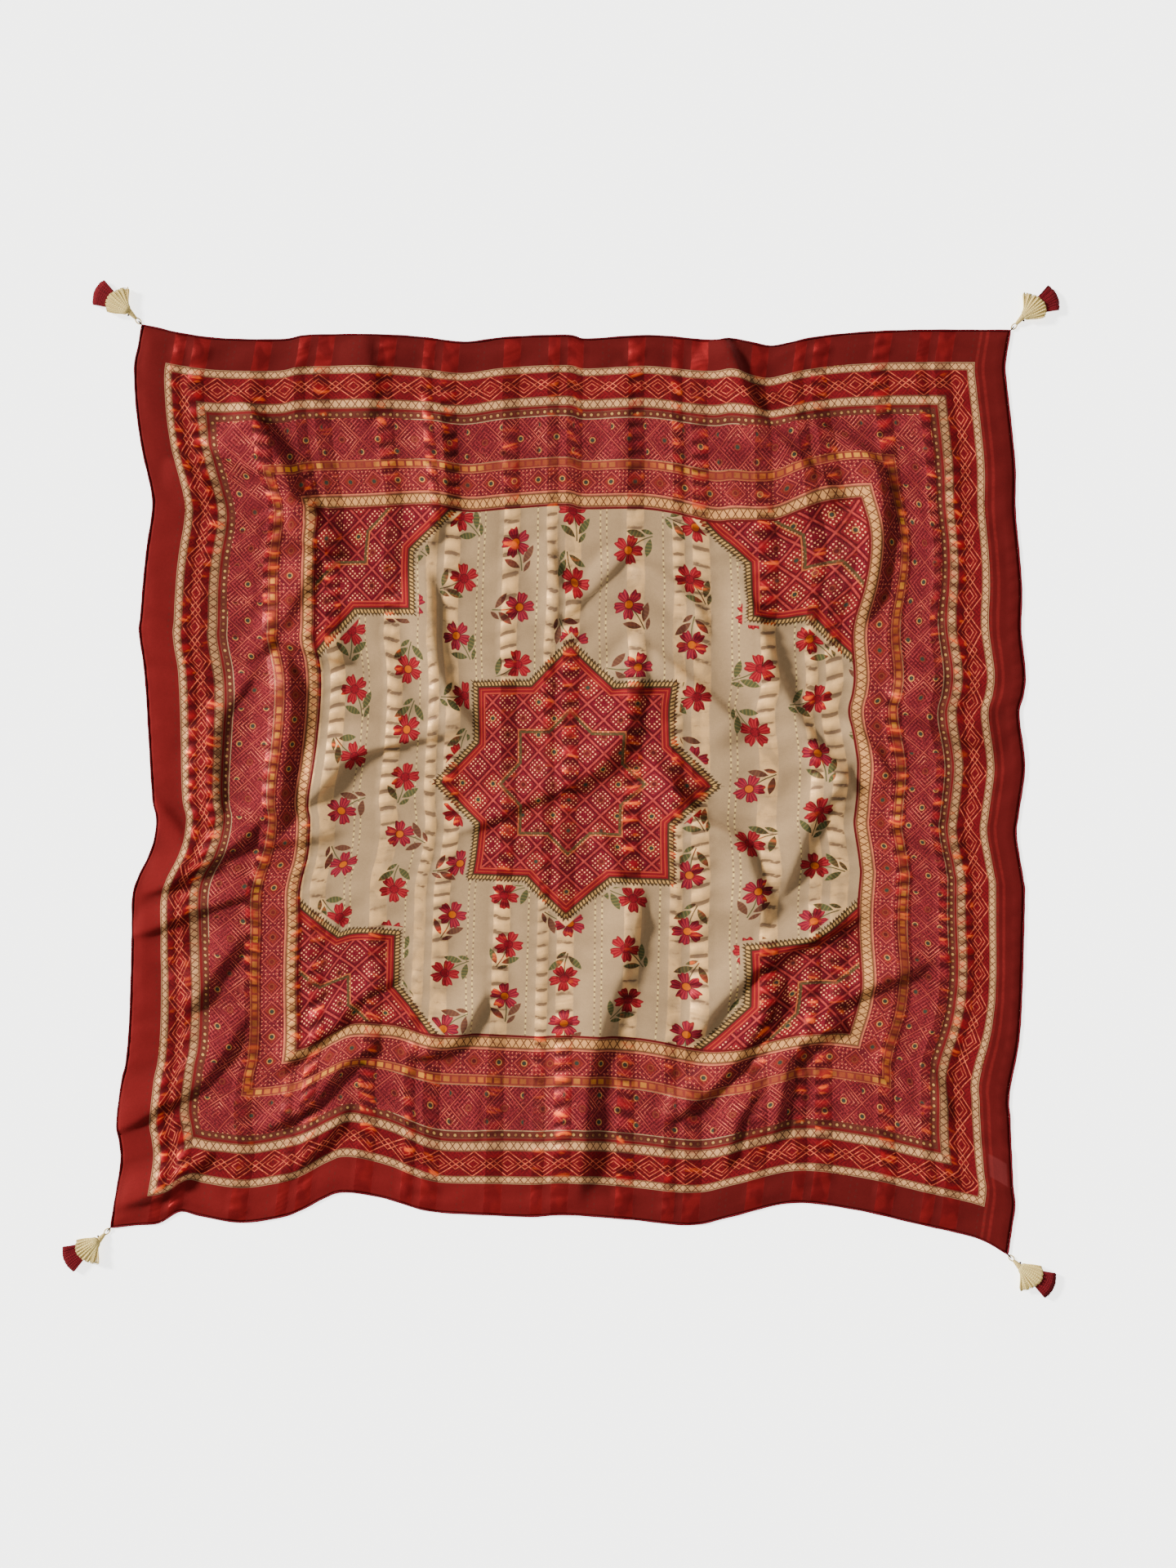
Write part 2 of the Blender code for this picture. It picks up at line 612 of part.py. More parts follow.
def make_cream_tuft(name, layout):
    """The head and the cream locks that fall over, under and beside the red tuft."""
    bm = bmesh.new()
    last = len(CREAM_ENDS) - 1
    cells = head_block(bm, layout, CREAM_HEAD, last + 1, 3)
    locks = [(0, column, CREAM_UNDER) for column in range(last + 1)]
    locks += [(2, column, CREAM_OVER) for column in range(last + 1)]
    locks += [(1, 0, CREAM_BESIDE), (1, last, CREAM_BESIDE)]
    for row, column, (bend_z, end_z) in locks:
        a, b, width = CREAM_ENDS[column]
        if row == 1:
            a += CREAM_BESIDE_SHIFT[0]
            b += CREAM_BESIDE_SHIFT[1] * (1 if column else -1)
        root = cell_place(layout, cells[column, row])
        end = (a, b, end_z)
        bend = part_way(root, end, CREAM_BEND, bend_z)
        late = part_way(root, end, CREAM_LATE, (bend_z + end_z) / 2)
        widths = [0] + [share * width for share in CREAM_WIDENING]
        thick = (0, CREAM_THICKNESS, CREAM_THICKNESS, CREAM_THICKNESS)
        grow_lock(bm, layout, cells[column, row], (root, bend, late, end), widths, thick)
    return object_from_bmesh(name + "_cream_tuft", bm, "cream_thread")


def make_red_tuft(name, layout):
    """The red tuft that fans out of the cream one."""
    bm = bmesh.new()
    pitch = 2 * RED_HALF_WIDTH / RED_COLUMNS
    widths = [0] + [share * pitch for share in RED_WIDENING]
    thick = (0, RED_THICKNESS, RED_THICKNESS)
    cells = head_block(bm, layout, RED_HEAD, RED_COLUMNS, len(RED_LAYERS))
    for (column, row), face in cells.items():
        b = pitch * (column + 0.5) - RED_HALF_WIDTH
        bend_z, end_z = RED_LAYERS[row]
        end = (RED_REACH - RED_CURVE * (b - RED_LEAD) ** 2, b, end_z)
        root = cell_place(layout, face)
        bend = part_way(root, end, RED_BEND, bend_z)
        grow_lock(bm, layout, face, (root, bend, end), widths, thick)
    return object_from_bmesh(name + "_red_tuft", bm, "red_thread")


def make_tassel(name, corner, head, side_x, side_y):
    layout = Layout(corner, head, side_x, side_y)
    node = "tassel_" + name
    make_cord(node, layout)
    make_eye(node, layout)
    make_neck(node, layout)
    make_knot(node, layout)
    make_cream_tuft(node, layout)
    make_red_tuft(node, layout)


def main():
    clear_scene()
    make_cloth()
    make_label()
    for row in TASSELS:
        make_tassel(*row)


main()
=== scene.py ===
"""The looks of a square scarf with a tassel at each corner, laid flat on a pale floor.

Metres, in the frame of the solids: +X right, +Y up in the picture, +Z off the floor. The cut cloth is
described by its flat coordinates u and v, in millimetres from its middle.
"""

import math
import random

import bpy
import numpy as np
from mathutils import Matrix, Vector


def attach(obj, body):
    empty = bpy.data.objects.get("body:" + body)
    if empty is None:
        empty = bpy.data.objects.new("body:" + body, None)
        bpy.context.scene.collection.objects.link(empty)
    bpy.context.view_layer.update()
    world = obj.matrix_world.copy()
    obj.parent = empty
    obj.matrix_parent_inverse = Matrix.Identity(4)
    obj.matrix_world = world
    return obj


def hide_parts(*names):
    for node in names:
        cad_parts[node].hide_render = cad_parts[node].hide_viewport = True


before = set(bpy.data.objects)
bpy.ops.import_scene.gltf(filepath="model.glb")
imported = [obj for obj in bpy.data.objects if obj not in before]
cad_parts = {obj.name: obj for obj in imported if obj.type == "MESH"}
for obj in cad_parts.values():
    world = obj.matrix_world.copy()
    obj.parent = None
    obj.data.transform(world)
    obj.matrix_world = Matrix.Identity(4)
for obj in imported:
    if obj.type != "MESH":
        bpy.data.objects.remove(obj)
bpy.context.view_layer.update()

MM = 0.001

# The picture: a camera that looks straight down on the laid scarf
VIEW_HEIGHT = 4.0
VIEW_MIDDLE = (0.0292, 0.0035)
VIEW_TALL = 1.6992
SENSOR = 36.0

# The cut square
SIDE = 1000.0
HALF = SIDE / 2

# How each edge of the square lies on the floor, in millimetres, from one corner to the next
# Columns: x, y
EDGE_TOP = (
    (-454, 501), (-435, 497), (-413, 492), (-369, 486), (-303, 485), (-280, 489), (-258, 490),
    (-192, 490), (-148, 487), (-104, 482), (-59, 487), (7, 489), (29, 485), (96, 489), (162, 484),
    (184, 486), (206, 482), (228, 478), (250, 482), (273, 487), (317, 492), (383, 495), (487, 495),
)
EDGE_BOTTOM = (
    (-488, -477), (-458, -474), (-435, -472), (-413, -460), (-391, -465), (-347, -474), (-303, -470),
    (-280, -462), (-258, -450), (-236, -442), (-192, -446), (-148, -457), (-104, -461), (-37, -465),
    (7, -463), (74, -468), (140, -474), (184, -465), (250, -450), (317, -457), (383, -472),
    (450, -488), (484, -506),
)
EDGE_LEFT = (
    (-488, -477), (-484, -452), (-477, -408), (-478, -386), (-481, -364), (-476, -320), (-471, -297),
    (-467, -253), (-463, -165), (-462, -120), (-456, -98), (-445, -76), (-438, -54), (-436, -32),
    (-441, -10), (-447, 57), (-453, 123), (-459, 167), (-457, 189), (-450, 256), (-444, 300),
    (-445, 322), (-454, 366), (-460, 411), (-462, 455), (-458, 477), (-454, 501),
)
EDGE_RIGHT = (
    (484, -506), (489, -474), (492, -452), (490, -430), (488, -364), (486, -342), (488, -320),
    (495, -275), (498, -209), (501, -120), (499, -98), (492, -54), (494, -32), (501, 12), (501, 35),
    (496, 79), (501, 101), (503, 123), (499, 167), (500, 211), (496, 256), (492, 300), (492, 344),
    (488, 389), (483, 433), (481, 455), (484, 477), (487, 495),
)
# An edge's bends reach in whole to the first share of the side and have died out at the second
EDGE_REACH = (0.12, 0.55)

# Where the laid cloth is drawn aside from an even square, in millimetres
# Columns: u, v (place on the flat square, from its middle), reach along u, reach along v, shift x, shift y
PULLS = (
    (-306, 140, 130, 80, 11, 0), (-306, -45, 120, 70, -18, 0), (-306, -205, 100, 80, -5, 0),
    (310, 270, 80, 60, 20, 0), (310, -60, 130, 90, 11, 0), (310, -245, 110, 80, 11, 0),
    (-165, 306, 60, 80, 0, 7), (0, 306, 100, 90, 0, 7), (180, 306, 50, 90, 0, -9), (295, 306, 80, 80, 0, 13),
    (-60, -306, 130, 80, 0, 6), (90, -306, 70, 80, 0, 5), (205, -306, 60, 80, 0, -7),
    (-430, 300, 60, 60, 5, 0), (-430, 140, 60, 90, 5, 0), (-430, -150, 60, 90, -7, 0),
    (430, -210, 60, 70, 5, 0), (430, -360, 60, 70, -6, 0), (430, 200, 60, 40, -4, 0),
    (-285, -430, 90, 70, 0, 13), (-130, -430, 50, 60, 0, -6), (0, 430, 120, 50, 0, 4),
)

# The folds: soft ridges with a long side that faces the upper left and a short, steep side
# Columns: height, width of the long side, width of the steep side, points (x, y) along the fold's foot
FOLDS = (
    (15, 34, 9, ((-342, 419), (-301, 358), (-283, 313), (-257, 294))),
    (13, 32, 9, ((-382, 366), (-327, 335), (-301, 312), (-291, 273), (-245, 253))),
    (6, 25, 9, ((-420, 358), (-396, 340), (-376, 322))),
    (7, 28, 11, ((-261, 242), (-285, 203), (-305, 163), (-342, 132))),
    (8, 27, 9, ((-334, 173), (-294, 154), (-232, 135))),
    (5, 21, 8, ((-420, 145), (-403, 138), (-382, 126))),
    (8, 28, 10, ((-327, 127), (-363, 74), (-372, 30), (-367, -41))),
    (13, 38, 13, ((-292, 132), (-288, 74), (-296, 17), (-301, -45))),
    (12, 36, 12, ((-139, 220), (-133, 154), (-119, 101), (-93, 70))),
    (10, 30, 9, ((-267, -14), (-230, 26), (-186, 43), (-121, 55))),
    (8, 32, 11, ((-130, 411), (-124, 358), (-123, 304), (-132, 273))),
    (9, 36, 12, ((-102, -50), (-27, -16), (35, 12), (71, 50), (88, 105), (95, 163))),
    (6, 25, 9, ((42, 85), (69, 126), (75, 156))),
    (8, 28, 9, ((-11, 265), (0, 220), (-3, 172))),
    (8, 28, 9, ((73, 250), (35, 209), (3, 179))),
    (5, 27, 10, ((72, 455), (73, 393), (72, 331))),
    (12, 34, 10, ((181, 489), (211, 411), (257, 358), (296, 325))),
    (12, 36, 11, ((228, 406), (292, 384), (336, 356), (351, 313), (348, 251), (337, 194))),
    (7, 27, 9, ((78, 242), (113, 229), (144, 203), (162, 167))),
    (9, 28, 10, ((97, 154), (150, 110), (199, 64))),
    (12, 40, 12, ((208, 203), (239, 119), (274, 52), (319, -1))),
    (9, 28, 9, ((357, 96), (407, 65), (454, 43))),
    (7, 25, 9, ((312, 74), (339, 43), (361, 8))),
    (12, 36, 11, ((312, 12), (274, -41), (249, -107))),
    (12, 34, 10, ((111, 21), (150, -32), (195, -58), (215, -103), (224, -142))),
    (7, 25, 9, ((42, -42), (63, -81), (69, -120))),
    (13, 42, 14, ((91, -125), (75, -191), (53, -253), (36, -315), (29, -421))),
    (11, 32, 10, ((312, -149), (248, -178), (212, -200), (175, -235), (149, -271))),
    (11, 32, 10, ((243, -213), (204, -280), (168, -324), (119, -364))),
    (8, 27, 9, ((388, -198), (336, -219), (290, -244))),
    (9, 28, 10, ((304, -258), (255, -289), (242, -333), (235, -377))),
    (8, 28, 9, ((217, -324), (193, -364), (184, -408))),
    (7, 27, 9, ((361, -39), (396, -58), (429, -78))),
    (7, 27, 9, ((339, -284), (398, -299), (423, -355))),
    (10, 34, 10, ((-312, -19), (-345, -60), (-389, -89), (-440, -116))),
    (6, 25, 9, ((-438, -10), (-418, -36), (-400, -63))),
    (8, 27, 9, ((-332, -116), (-398, -138), (-456, -163))),
    (8, 28, 10, ((-342, -165), (-373, -204), (-394, -240))),
    (9, 32, 10, ((-345, -264), (-387, -322), (-434, -350), (-471, -373))),
    (9, 32, 10, ((-174, -209), (-212, -228), (-248, -264), (-298, -304))),
    (9, 32, 10, ((-199, -280), (-239, -308), (-266, -343), (-316, -372))),
    (11, 32, 10, ((-84, -235), (-112, -278), (-157, -296))),
    (8, 28, 10, ((-232, -355), (-263, -395), (-294, -426))),
    (10, 28, 9, ((-376, -399), (-422, -432), (-462, -452))),
    (6, 27, 9, ((-227, -129), (-243, -156), (-258, -178))),
    (5, 25, 9, ((-196, -242), (-165, -258), (-139, -275))),
    (6, 25, 9, ((-320, -67), (-285, -58), (-250, -54))),
    (6, 28, 10, ((-84, -324), (-86, -359), (-90, -395))),
    (6, 28, 10, ((-205, 477), (-201, 437), (-205, 393))),
    (5, 25, 9, ((193, 322), (211, 300), (233, 282))),
)
# The side that the steep flanks face
STEEP_SIDE = (0.8, -0.6)
# How far past its crest a fold's foot line runs, as a share of its steep side
FOOT_SHARE = 0.7
# How far a fold runs past its foot points, rises at each end, and reaches aside, in long sides
FOLD_RUN_OUT = 1.0
FOLD_RISE = 1.7
FOLD_MARGIN = 2.5
# The crest leans over its steep side by this share of its height
LEAN = 0.25
# Overlapping folds add up like this power's norm, and what stays lower than the lift lies flat
BLEND_POWER = 3.0
REST_LIFT = 1.9
# The slow swells between the folds: their heights, the lengths of their waves along x and y, and
# how far and how slowly the waves bend
SWELL_SLOW = 2.4
SLOW_WAVES = (66.0, 74.0)
SLOW_BENDS = ((1.3, 97.0), (1.1, 88.0))
SWELL_SLANT = 1.3
SLANT_WAVE = 43.0
SLANT_TILT = 0.6
SLANT_BEND = (1.2, 110.0)
# The folds pull the cloth no farther than this from its edge inwards
EDGE_HOLD = 30.0

# The care label lies under the right hem
LABEL_SIZE = (22.0, 25.0)
LABEL_PLACE = (474.0, -415.0)
LABEL_CLEARANCE = 1.3
LABEL_MARGIN = 5.0
LABEL_SLOPE = 12.0

# The cloth's mesh: cells across and up, cells of the upper side to one of the underside
CLOTH_COLUMNS = 224
CLOTH_ROWS = 340
UNDER_STEP = 2
# The upper side's height above the solid's underside, and the edge's share that flattens out
TOP_RISE = 1.0
EDGE_FLAT = 14.0
# How much higher the folds are than in the solids, on top and below, and how far below lies deeper
FOLD_GAIN = 1.2
UNDER_GAIN = 0.9
UNDER_SINK = 1.2
# The rolled hem, with its bumps in columns: share of the radius, pace along the roll
HEM_RADIUS = 0.9
HEM_CLEARANCE = 0.1
HEM_BUMPS = ((0.12, 0.9), (0.08, 0.37))
# Slight waves of the smoothed cloth
# Columns: length, compass angle across them, height, start
RIPPLES = (
    (46.0, 62.0, 1.1, 0.4),
    (33.0, 118.0, 0.8, 2.1),
    (57.0, 14.0, 1.3, 4.0),
    (28.0, 88.0, 0.6, 5.3),
)
# How far the ripples bend and in what waves, and their patches along and across: all in wave lengths,
# and how sharply the patches end
RIPPLE_BEND = 0.3
RIPPLE_BEND_WAVE = 1.7
RIPPLE_PATCH = (1.1, 2.3, 0.8)
# The shade in the folds: smoothing rounds of the wide and the fine height, and the full depth
HOLLOW_WIDE = 24
HOLLOW_FINE = 1
HOLLOW_DEPTH = 1.6

# The satin stripes run up the whole cloth and repeat across it
STRIPE_PERIOD = SIDE / 7
STRIPE_START = -10.9
# Columns: start and end of a satin stripe within the period
SATIN = ((0.0, 19.4), (51.0, 64.0), (73.0, 91.5))
# How far from the cloth's sides the stripes end
SATIN_END = 13.0
# Middles of the dashed lines within the period, and the length of their stitches
DASHES = (40.5, 113.5, 120.5)
FIELD_STITCH = 6.8
PUCKER_LENGTH = 18.0
PUCKER_HEIGHT = 2.6
# Each stripe starts its waves at another place, this much further on
STRIPE_SHIFT = 2.399
# How the puckers of a stripe wander, in columns: reach, wave length, share of the stripe's start
PUCKER_DRIFT = ((6.0, 61, 1.7), (4.0, 23, 2.9))
PUCKER_SLANT = ((5.0, 83, 1.3), (6.0, 37, 1.0))
PUCKER_GATHERS = ((1.0, 71, 3.1), (0.6, 29, 1.0))
PUCKER_EDGE = 1.2
PUCKER_ROUND = 0.9
PUCKER_WEAKEST = 0.15
PUCKER_LEAST = 0.12
PUCKER_BOW = 0.25
CREST_GAIN = 1.2
HOLLOW_SHADE = 0.22

# The smooth noises over the flat cloth, and how far apart their numbers lay them
# Columns: scale for millimetres, detail, number, stretch across
NOISES = {
    "wander": (0.11, 1.0, 1.0, 1.0),
    "gaps": (0.34, 1.0, 4.0, 1.0),
    "broad": (0.045, 2.0, 2.0, 1.0),
    "fine": (0.25, 1.0, 5.0, 1.0),
    "lively": (0.016, 0.0, 12.0, 1.0),
    "weave": (0.02, 1.0, 1.0, 1.0),
    "wave": (0.035, 0.0, 3.0, 1.0),
    "slant": (0.012, 0.0, 9.0, 1.0),
    # The patches where the satin's painted sheen is stronger
    "sheen_patch": (0.05, 0.0, 2.0, 1.5),
    "fibre": (0.9, 1.0, 6.0, 1.0),
}
NOISE_STEPS = (97.0, 53.0)
CHANCE_STEPS = (61.0, 977.0)

# The bands of the print, in millimetres from the cut edge
HEM_END = 35.0
BRAID_1 = (35.5, 43.5)
LOZENGES = (43.5, 71.0)
BRAID_2 = (71.0, 81.5)
DOTS = (83.0, 93.0)
LATTICE = (93.0, 138.0)
ORANGE = (138.5, 149.0)
EYES = (149.0, 177.0)
BRAID_3 = (178.5, 191.0)
FIELD_LINE = (191.5, 194.0)
FIELD_HALF = HALF - 194.0
# The length of the repeats along the bands, and sizes within them
BRAID_STITCH = 8.6
LOZENGE_PITCH = 38.5
LATTICE_PITCH = 41.0
LATTICE_RING = 5.4
LATTICE_COMB = 2.7
DOT_PITCH = 7.6
DOT_RADIUS = 1.5
DOT_RIM = 1.6
DASH_PITCH = 9.4
DASH_RIM = 2.5
EYE_PITCH = 27.8
EYE_RADIUS = 2.2
SPECK_PITCH = 4.4
STITCH_BEND = 3.0
WEAVE = 5.2
# As shares of a plait's width
BRAID_SLANT = 0.9
BRAID_THREAD = 0.075
BRAID_RIM = 0.14
# How far beside the lattice's middle its smaller eyes are, as a share of half the band
EYE_SHIFT = 0.62
# The medallion: half the side of its two crossed squares, and that of the quarter ones in the corners
STAR_HALF = 112.0
CORNER_HALF = 113.0
STAR_CELL = 26.0
STAR_FRAME = 11.0
STAR_CLEAR = 9.0
DOT_GAP = 3.9
TOOTH = 4.2
DIAGONAL = 1 / math.sqrt(2)
# Lighter lengthwise streaks in the right hem
HEM_STREAKS = ((465.5, 468.5), (473.0, 476.5))
# Where the label shows faintly through the hem
LABEL_ACROSS = (471.5, 493.5)
LABEL_UP = (-430.0, -405.0)
LABEL_SHOWS = 0.4
# The flower sprigs on the field
SPRIG_PITCH = 66.0
SPRIG_REACH = 27.0
FLOWER_PLACE = 5.0
# Columns: place along and beside the stem, half the length
LEAVES = (((-16.0, 9.5), 10.5), ((-12.0, -10.5), 11.0), ((-24.0, -6.0), 7.0))
# How much a leaf points onward and aside, and its width as a share of its length
LEAF_AHEAD = 0.7
LEAF_ASIDE = 0.72
LEAF_WIDTH = 0.36

# Colours, from 0 to 255
RED_HEM = (78, 15, 16)
# Painted light: the hem lighter towards the lower left, where the light falls on it
RED_HEM_LIT = (99, 20, 21)
# Painted sheen of the hem's satin stripes
RED_HEM_SATIN_SHEEN = (124, 26, 27)
RED_HEM_STREAK = (112, 27, 26)
LABEL_THROUGH = (106, 42, 41)
ROLL_RED = (93, 16, 24)
ROLL_THREAD = (69, 11, 19)
# Painted highlight where the rolled hem catches the light
ROLL_LIT = (106, 23, 27)
CREAM = (187, 136, 91)
CREAM_DARK = (58, 24, 21)
BRAID_3_CREAM = (193, 134, 79)
BRAID_GROUND = (129, 54, 52)
RED_BAND = (95, 13, 20)
LOZENGE_SHADE = (69, 9, 15)
LOZENGE_LIGHT = (236, 112, 74)
# Painted highlight on the puckers' crests in the printed bands
RED_CREST_HIGHLIGHT = (146, 16, 21)
# Painted glints on the crinkled satin
SATIN_GLINT = (249, 103, 27)
SATIN_SHADE = (62, 10, 16)
CREASE_SHADE = (86, 64, 51)
BROWN = (86, 38, 30)
DOT_RED = (96, 22, 23)
DOT_SHADE = (51, 22, 18)
DOT_CREAM = (187, 144, 78)
GREEN_EYE = (28, 53, 43)
EYE_DARK = (66, 19, 21)
EYE_SHADE = (90, 24, 25)
EYE_RING = (230, 163, 79)
ROSE = (86, 20, 28)
ROSE_LINE = (173, 71, 66)
LATTICE_HEART = (106, 17, 27)
LATTICE_SHADE = (75, 12, 23)
LATTICE_STITCH = (250, 132, 90)
LATTICE_LIGHT = (212, 92, 70)
ORANGE_GROUND = (112, 41, 35)
ORANGE_DASH = (179, 95, 37)
DASH_YELLOW = (202, 132, 44)
DASH_RED = (128, 48, 29)
DASH_THREAD = (165, 91, 53)
EYES_GROUND = (90, 23, 31)
EYES_HEART = (130, 43, 27)
EYES_SPECK = (237, 124, 84)
EYES_THREAD = (194, 108, 70)
GROUND = (153, 124, 90)
GROUND_DARK = (127, 103, 74)
# Painted sheen of the field's satin stripes, strongest as painted highlights on the puckers' crests
GROUND_SATIN_SHEEN = (237, 183, 115)
GROUND_DASH = (250, 214, 124)
DASH_GAP = (60, 35, 29)
LINE_RED = (85, 17, 19)
STAR_GROUND = (97, 16, 29)
STAR_RED = (122, 26, 29)
STAR_DOT = (244, 157, 105)
STAR_GRID = (182, 70, 58)
STAR_FRAME_RED = (113, 18, 27)
STAR_EDGE = (51, 33, 21)
OLIVE = (65, 48, 29)
BEAD = (186, 141, 79)
PETAL = (122, 18, 28)
PETAL_PURPLE = (101, 27, 47)
PETAL_DEEP = (103, 15, 25)
PETAL_EDGE = (165, 44, 44)
PETAL_GAP = (75, 11, 22)
PETAL_RIM = (88, 14, 25)
FLOWER_HEART = (173, 82, 2)
FLOWER_RING = (74, 18, 24)
LEAF = (67, 68, 41)
LEAF_VEIN = (107, 92, 50)
LEAF_RED = (93, 33, 36)
TAPE = (200, 169, 129)
TAPE_RIB = (148, 123, 99)
TAPE_SOIL = (162, 134, 104)
# The threads' colours, in columns: colour, painted shade between the plies and at the threads' starts,
# bright strands
THREADS = {
    "cream": ((223, 191, 118), (92, 76, 55), (250, 234, 143)),
    "red": ((99, 17, 23), (64, 10, 15), (118, 21, 28)),
    "dark": ((39, 13, 16), (19, 8, 10), (66, 29, 30)),
}
THREAD_SHEEN = 0.03

# The strokes of thread on the bands
# Columns: whether they are turned, millimetres from stroke to stroke, strength, colour
LOZENGE_STROKES = ((False, 0.7, 0.16, (163, 34, 29)), (True, 0.8, 0.5, (64, 7, 14)))
LATTICE_STROKES = ((False, 0.72, 0.36, (171, 55, 53)), (True, 0.84, 0.6, (67, 11, 20)))
EYES_LIGHT_STROKES = ((False, 0.7, 0.34, (184, 65, 56)),)
EYES_DARK_STROKES = ((True, 0.8, 0.5, (69, 13, 21)),)
STAR_STROKES = ((False, 0.55, 0.16, (166, 50, 45)), (False, 0.6, 0.35, (77, 12, 24)))
# Lines round a middle
# Columns: place as a share of the half width, millimetres more, width, strength, colour
LATTICE_RIMS = ((1.0, 0.0, 3.6, 0.8, (84, 15, 25)),)
EYES_LINES = ((0.78, 0.0, 1.4, 0.5, (199, 84, 63)), (1.3, 0.0, 1.4, 0.4, (180, 72, 62)))
STAR_GRID_SHADES = ((1.0, -2.2, 1.8, 0.8, (71, 11, 20)),)
STAR_RINGS = ((0.52, 0.0, 3.0, 0.85, (67, 60, 34)), (0.52, 2.6, 1.2, 0.7, (178, 101, 50)))
STAR_FRAME_LINES = ((1.0, -10.0, 1.4, 0.8, (167, 61, 40)), (1.0, -6.0, 1.2, 0.6, (166, 59, 31)))
# Columns: round the diamond (0) or between the diamonds (1), share of the half width, width
LOZENGE_LINES = ((0, 1.0, 1.2), (0, 0.62, 0.9), (0, 0.34, 1.0), (1, 0.42, 0.9))
LOZENGE_SHADES = ((0, 0.85, 2.2), (1, 0.52, 2.2))

# The four tassels
# Columns: name, the cloth's corner (x, y), where the tassel's head starts (x, y), side of x, side of y
TASSELS = (
    ("top_left", (-454, 501), (-467.6, 515.3), -1, 1),
    ("top_right", (487, 495), (500.0, 509.4), 1, 1),
    ("bottom_left", (-488, -477), (-500.3, -490.4), -1, -1),
    ("bottom_right", (484, -506), (496.4, -519.0), 1, -1),
)
# Each tassel points this way, turned to its own corner
TASSEL_AXIS = (0.85, 0.527)
# The dark cord and its two twisted threads
# Columns: distance from the cloth's corner, height above the floor
CORD_PATH = ((0.0, 0.9), (1.2, 1.8), (2.4, 2.6), (3.8, 2.6), (5.0, 1.3))
CORD_TWIST = 0.9
CORD_APART = 0.35
CORD_THREAD = 0.45
# The cream eye
EYE_LENGTH = 7.6
EYE_WIDTH = 4.6
EYE_START = 1.9
EYE_HEIGHT = 1.0
EYE_STEPS = 26
EYE_THREAD = 0.62
EYE_BUMP = 0.12
# The whipped neck
# Columns: share of the way from the eye to the head, radius
NECK_RINGS = ((0.0, 1.4), (0.15, 1.9), (0.45, 2.4), (0.8, 3.0), (1.0, 3.2))
NECK_HEIGHT = 3.5
NECK_TURNS = 13
NECK_BUMP = 0.16
NECK_INTO_EYE = 0.6
NECK_INTO_HEAD = 1.0
# The knot beside the head, three crossing rings of thread
KNOT_RADIUS = 1.3
KNOT_PLACE = (-1.3, -4.0, 3.0)
KNOT_TILTS = (0.0, 1.1, 2.2)
KNOT_STEPS = 14
KNOT_THREAD = 0.5
# The ends of the cream threads, from one side of the tassel to the other
# Columns: a, b
CREAM_ENDS = (
    (20.0, -13.0), (23.2, -9.6), (25.6, -5.6), (27.0, -1.5), (27.0, 2.6), (25.8, 6.8), (23.8, 11.2),
    (20.2, 16.2), (14.6, 21.4),
)
CREAM_LOCKS = 9
LOCK_GATHER = 0.6
LOCK_RISE = 0.7
# The layers of cream threads
# Columns: threads, height at the shoulder, height at the end, reach, spread of the heights
CREAM_LAYERS = (
    (110, 8.3, 7.6, 1.0, 0.9),
    (80, 6.8, 6.2, 0.93, 1.1),
    (60, 1.3, 1.0, 0.97, 0.5),
    (44, 3.4, 3.0, 0.96, 1.2),
)
CREAM_THREAD = 0.48
CREAM_TAPER = 0.85
# The shoulder's distance and half width, the height of the tassel's middle, and how flat its round is
CREAM_SHOULDER = 5.2
CREAM_WIDTH = 6.6
CREAM_MIDDLE = 4.3
CREAM_FLATNESS = 0.8
RED_HALF_WIDTH = 14.4
RED_REACH = 43.8
RED_CURVE = 0.021
RED_LEAD = 3.0
RED_ROOT = 4.6
# Columns: threads, height at the bend, height at the end
RED_LAYERS = ((90, 6.0, 5.0), (90, 4.6, 3.3), (80, 3.2, 1.6))
RED_THREAD = 0.46
THREAD_LOWEST = 0.7
# Threads are numbered in their UV layer up to this many, each in steps finer than a number
MOST_STRANDS = 512
SIDE_STEPS = 600
# No thread runs this way, so its level direction can be found from it
NEARLY_UP = (0.03, 0.05, 1.0)

# The floor and the light
FLOOR_HALF = 40.0
FLOOR_LEVEL = -0.0005
FLOOR_COLOR = (240, 240, 238)
FLOOR_DUST = (226, 226, 222)
FLOOR_GLOW = 3.0
WORLD_LIGHT = 0.7
# The sun's power, and in degrees its width, its height and the side it comes from, counted from +X
SUN_POWER = 9.8
SUN_WIDTH = 10.0
SUN_ELEVATION = 28.0
SUN_SIDE = 155.0


# Curves through the rows of a table


def smooth_curve(rows, steps=12):
    """Points along a Catmull-Rom curve through the rows."""
    points = np.array(rows, float)
    first = 2 * points[0] - points[1]
    last = 2 * points[-1] - points[-2]
    points = np.vstack([first, points, last])
    share = np.linspace(0, 1, steps, endpoint=False)[:, None]
    pieces = []
    for a, b, c, d in zip(points, points[1:], points[2:], points[3:]):
        cubic = (3 * b - a - 3 * c + d) * share**3
        square = (2 * a - 5 * b + 4 * c - d) * share**2
        pieces.append(0.5 * (2 * b + (c - a) * share + square + cubic))
    pieces.append(points[-2:-1])
    return np.vstack(pieces)


def along(rows, share):
    """The points at these shares of a curve's length."""
    curve = smooth_curve(rows)
    lengths = np.hypot(*np.diff(curve, axis=0).T)
    reach = np.concatenate([[0], np.cumsum(lengths)])
    reach /= reach[-1]
    return np.stack([np.interp(share, reach, curve[:, 0]), np.interp(share, reach, curve[:, 1])], -1)


def smoothstep(x):
    x = np.clip(x, 0, 1)
    return x * x * (3 - 2 * x)


# The cloth


def edge_share(distance):
    near, far = EDGE_REACH
    return smoothstep((far - distance) / (far - near))


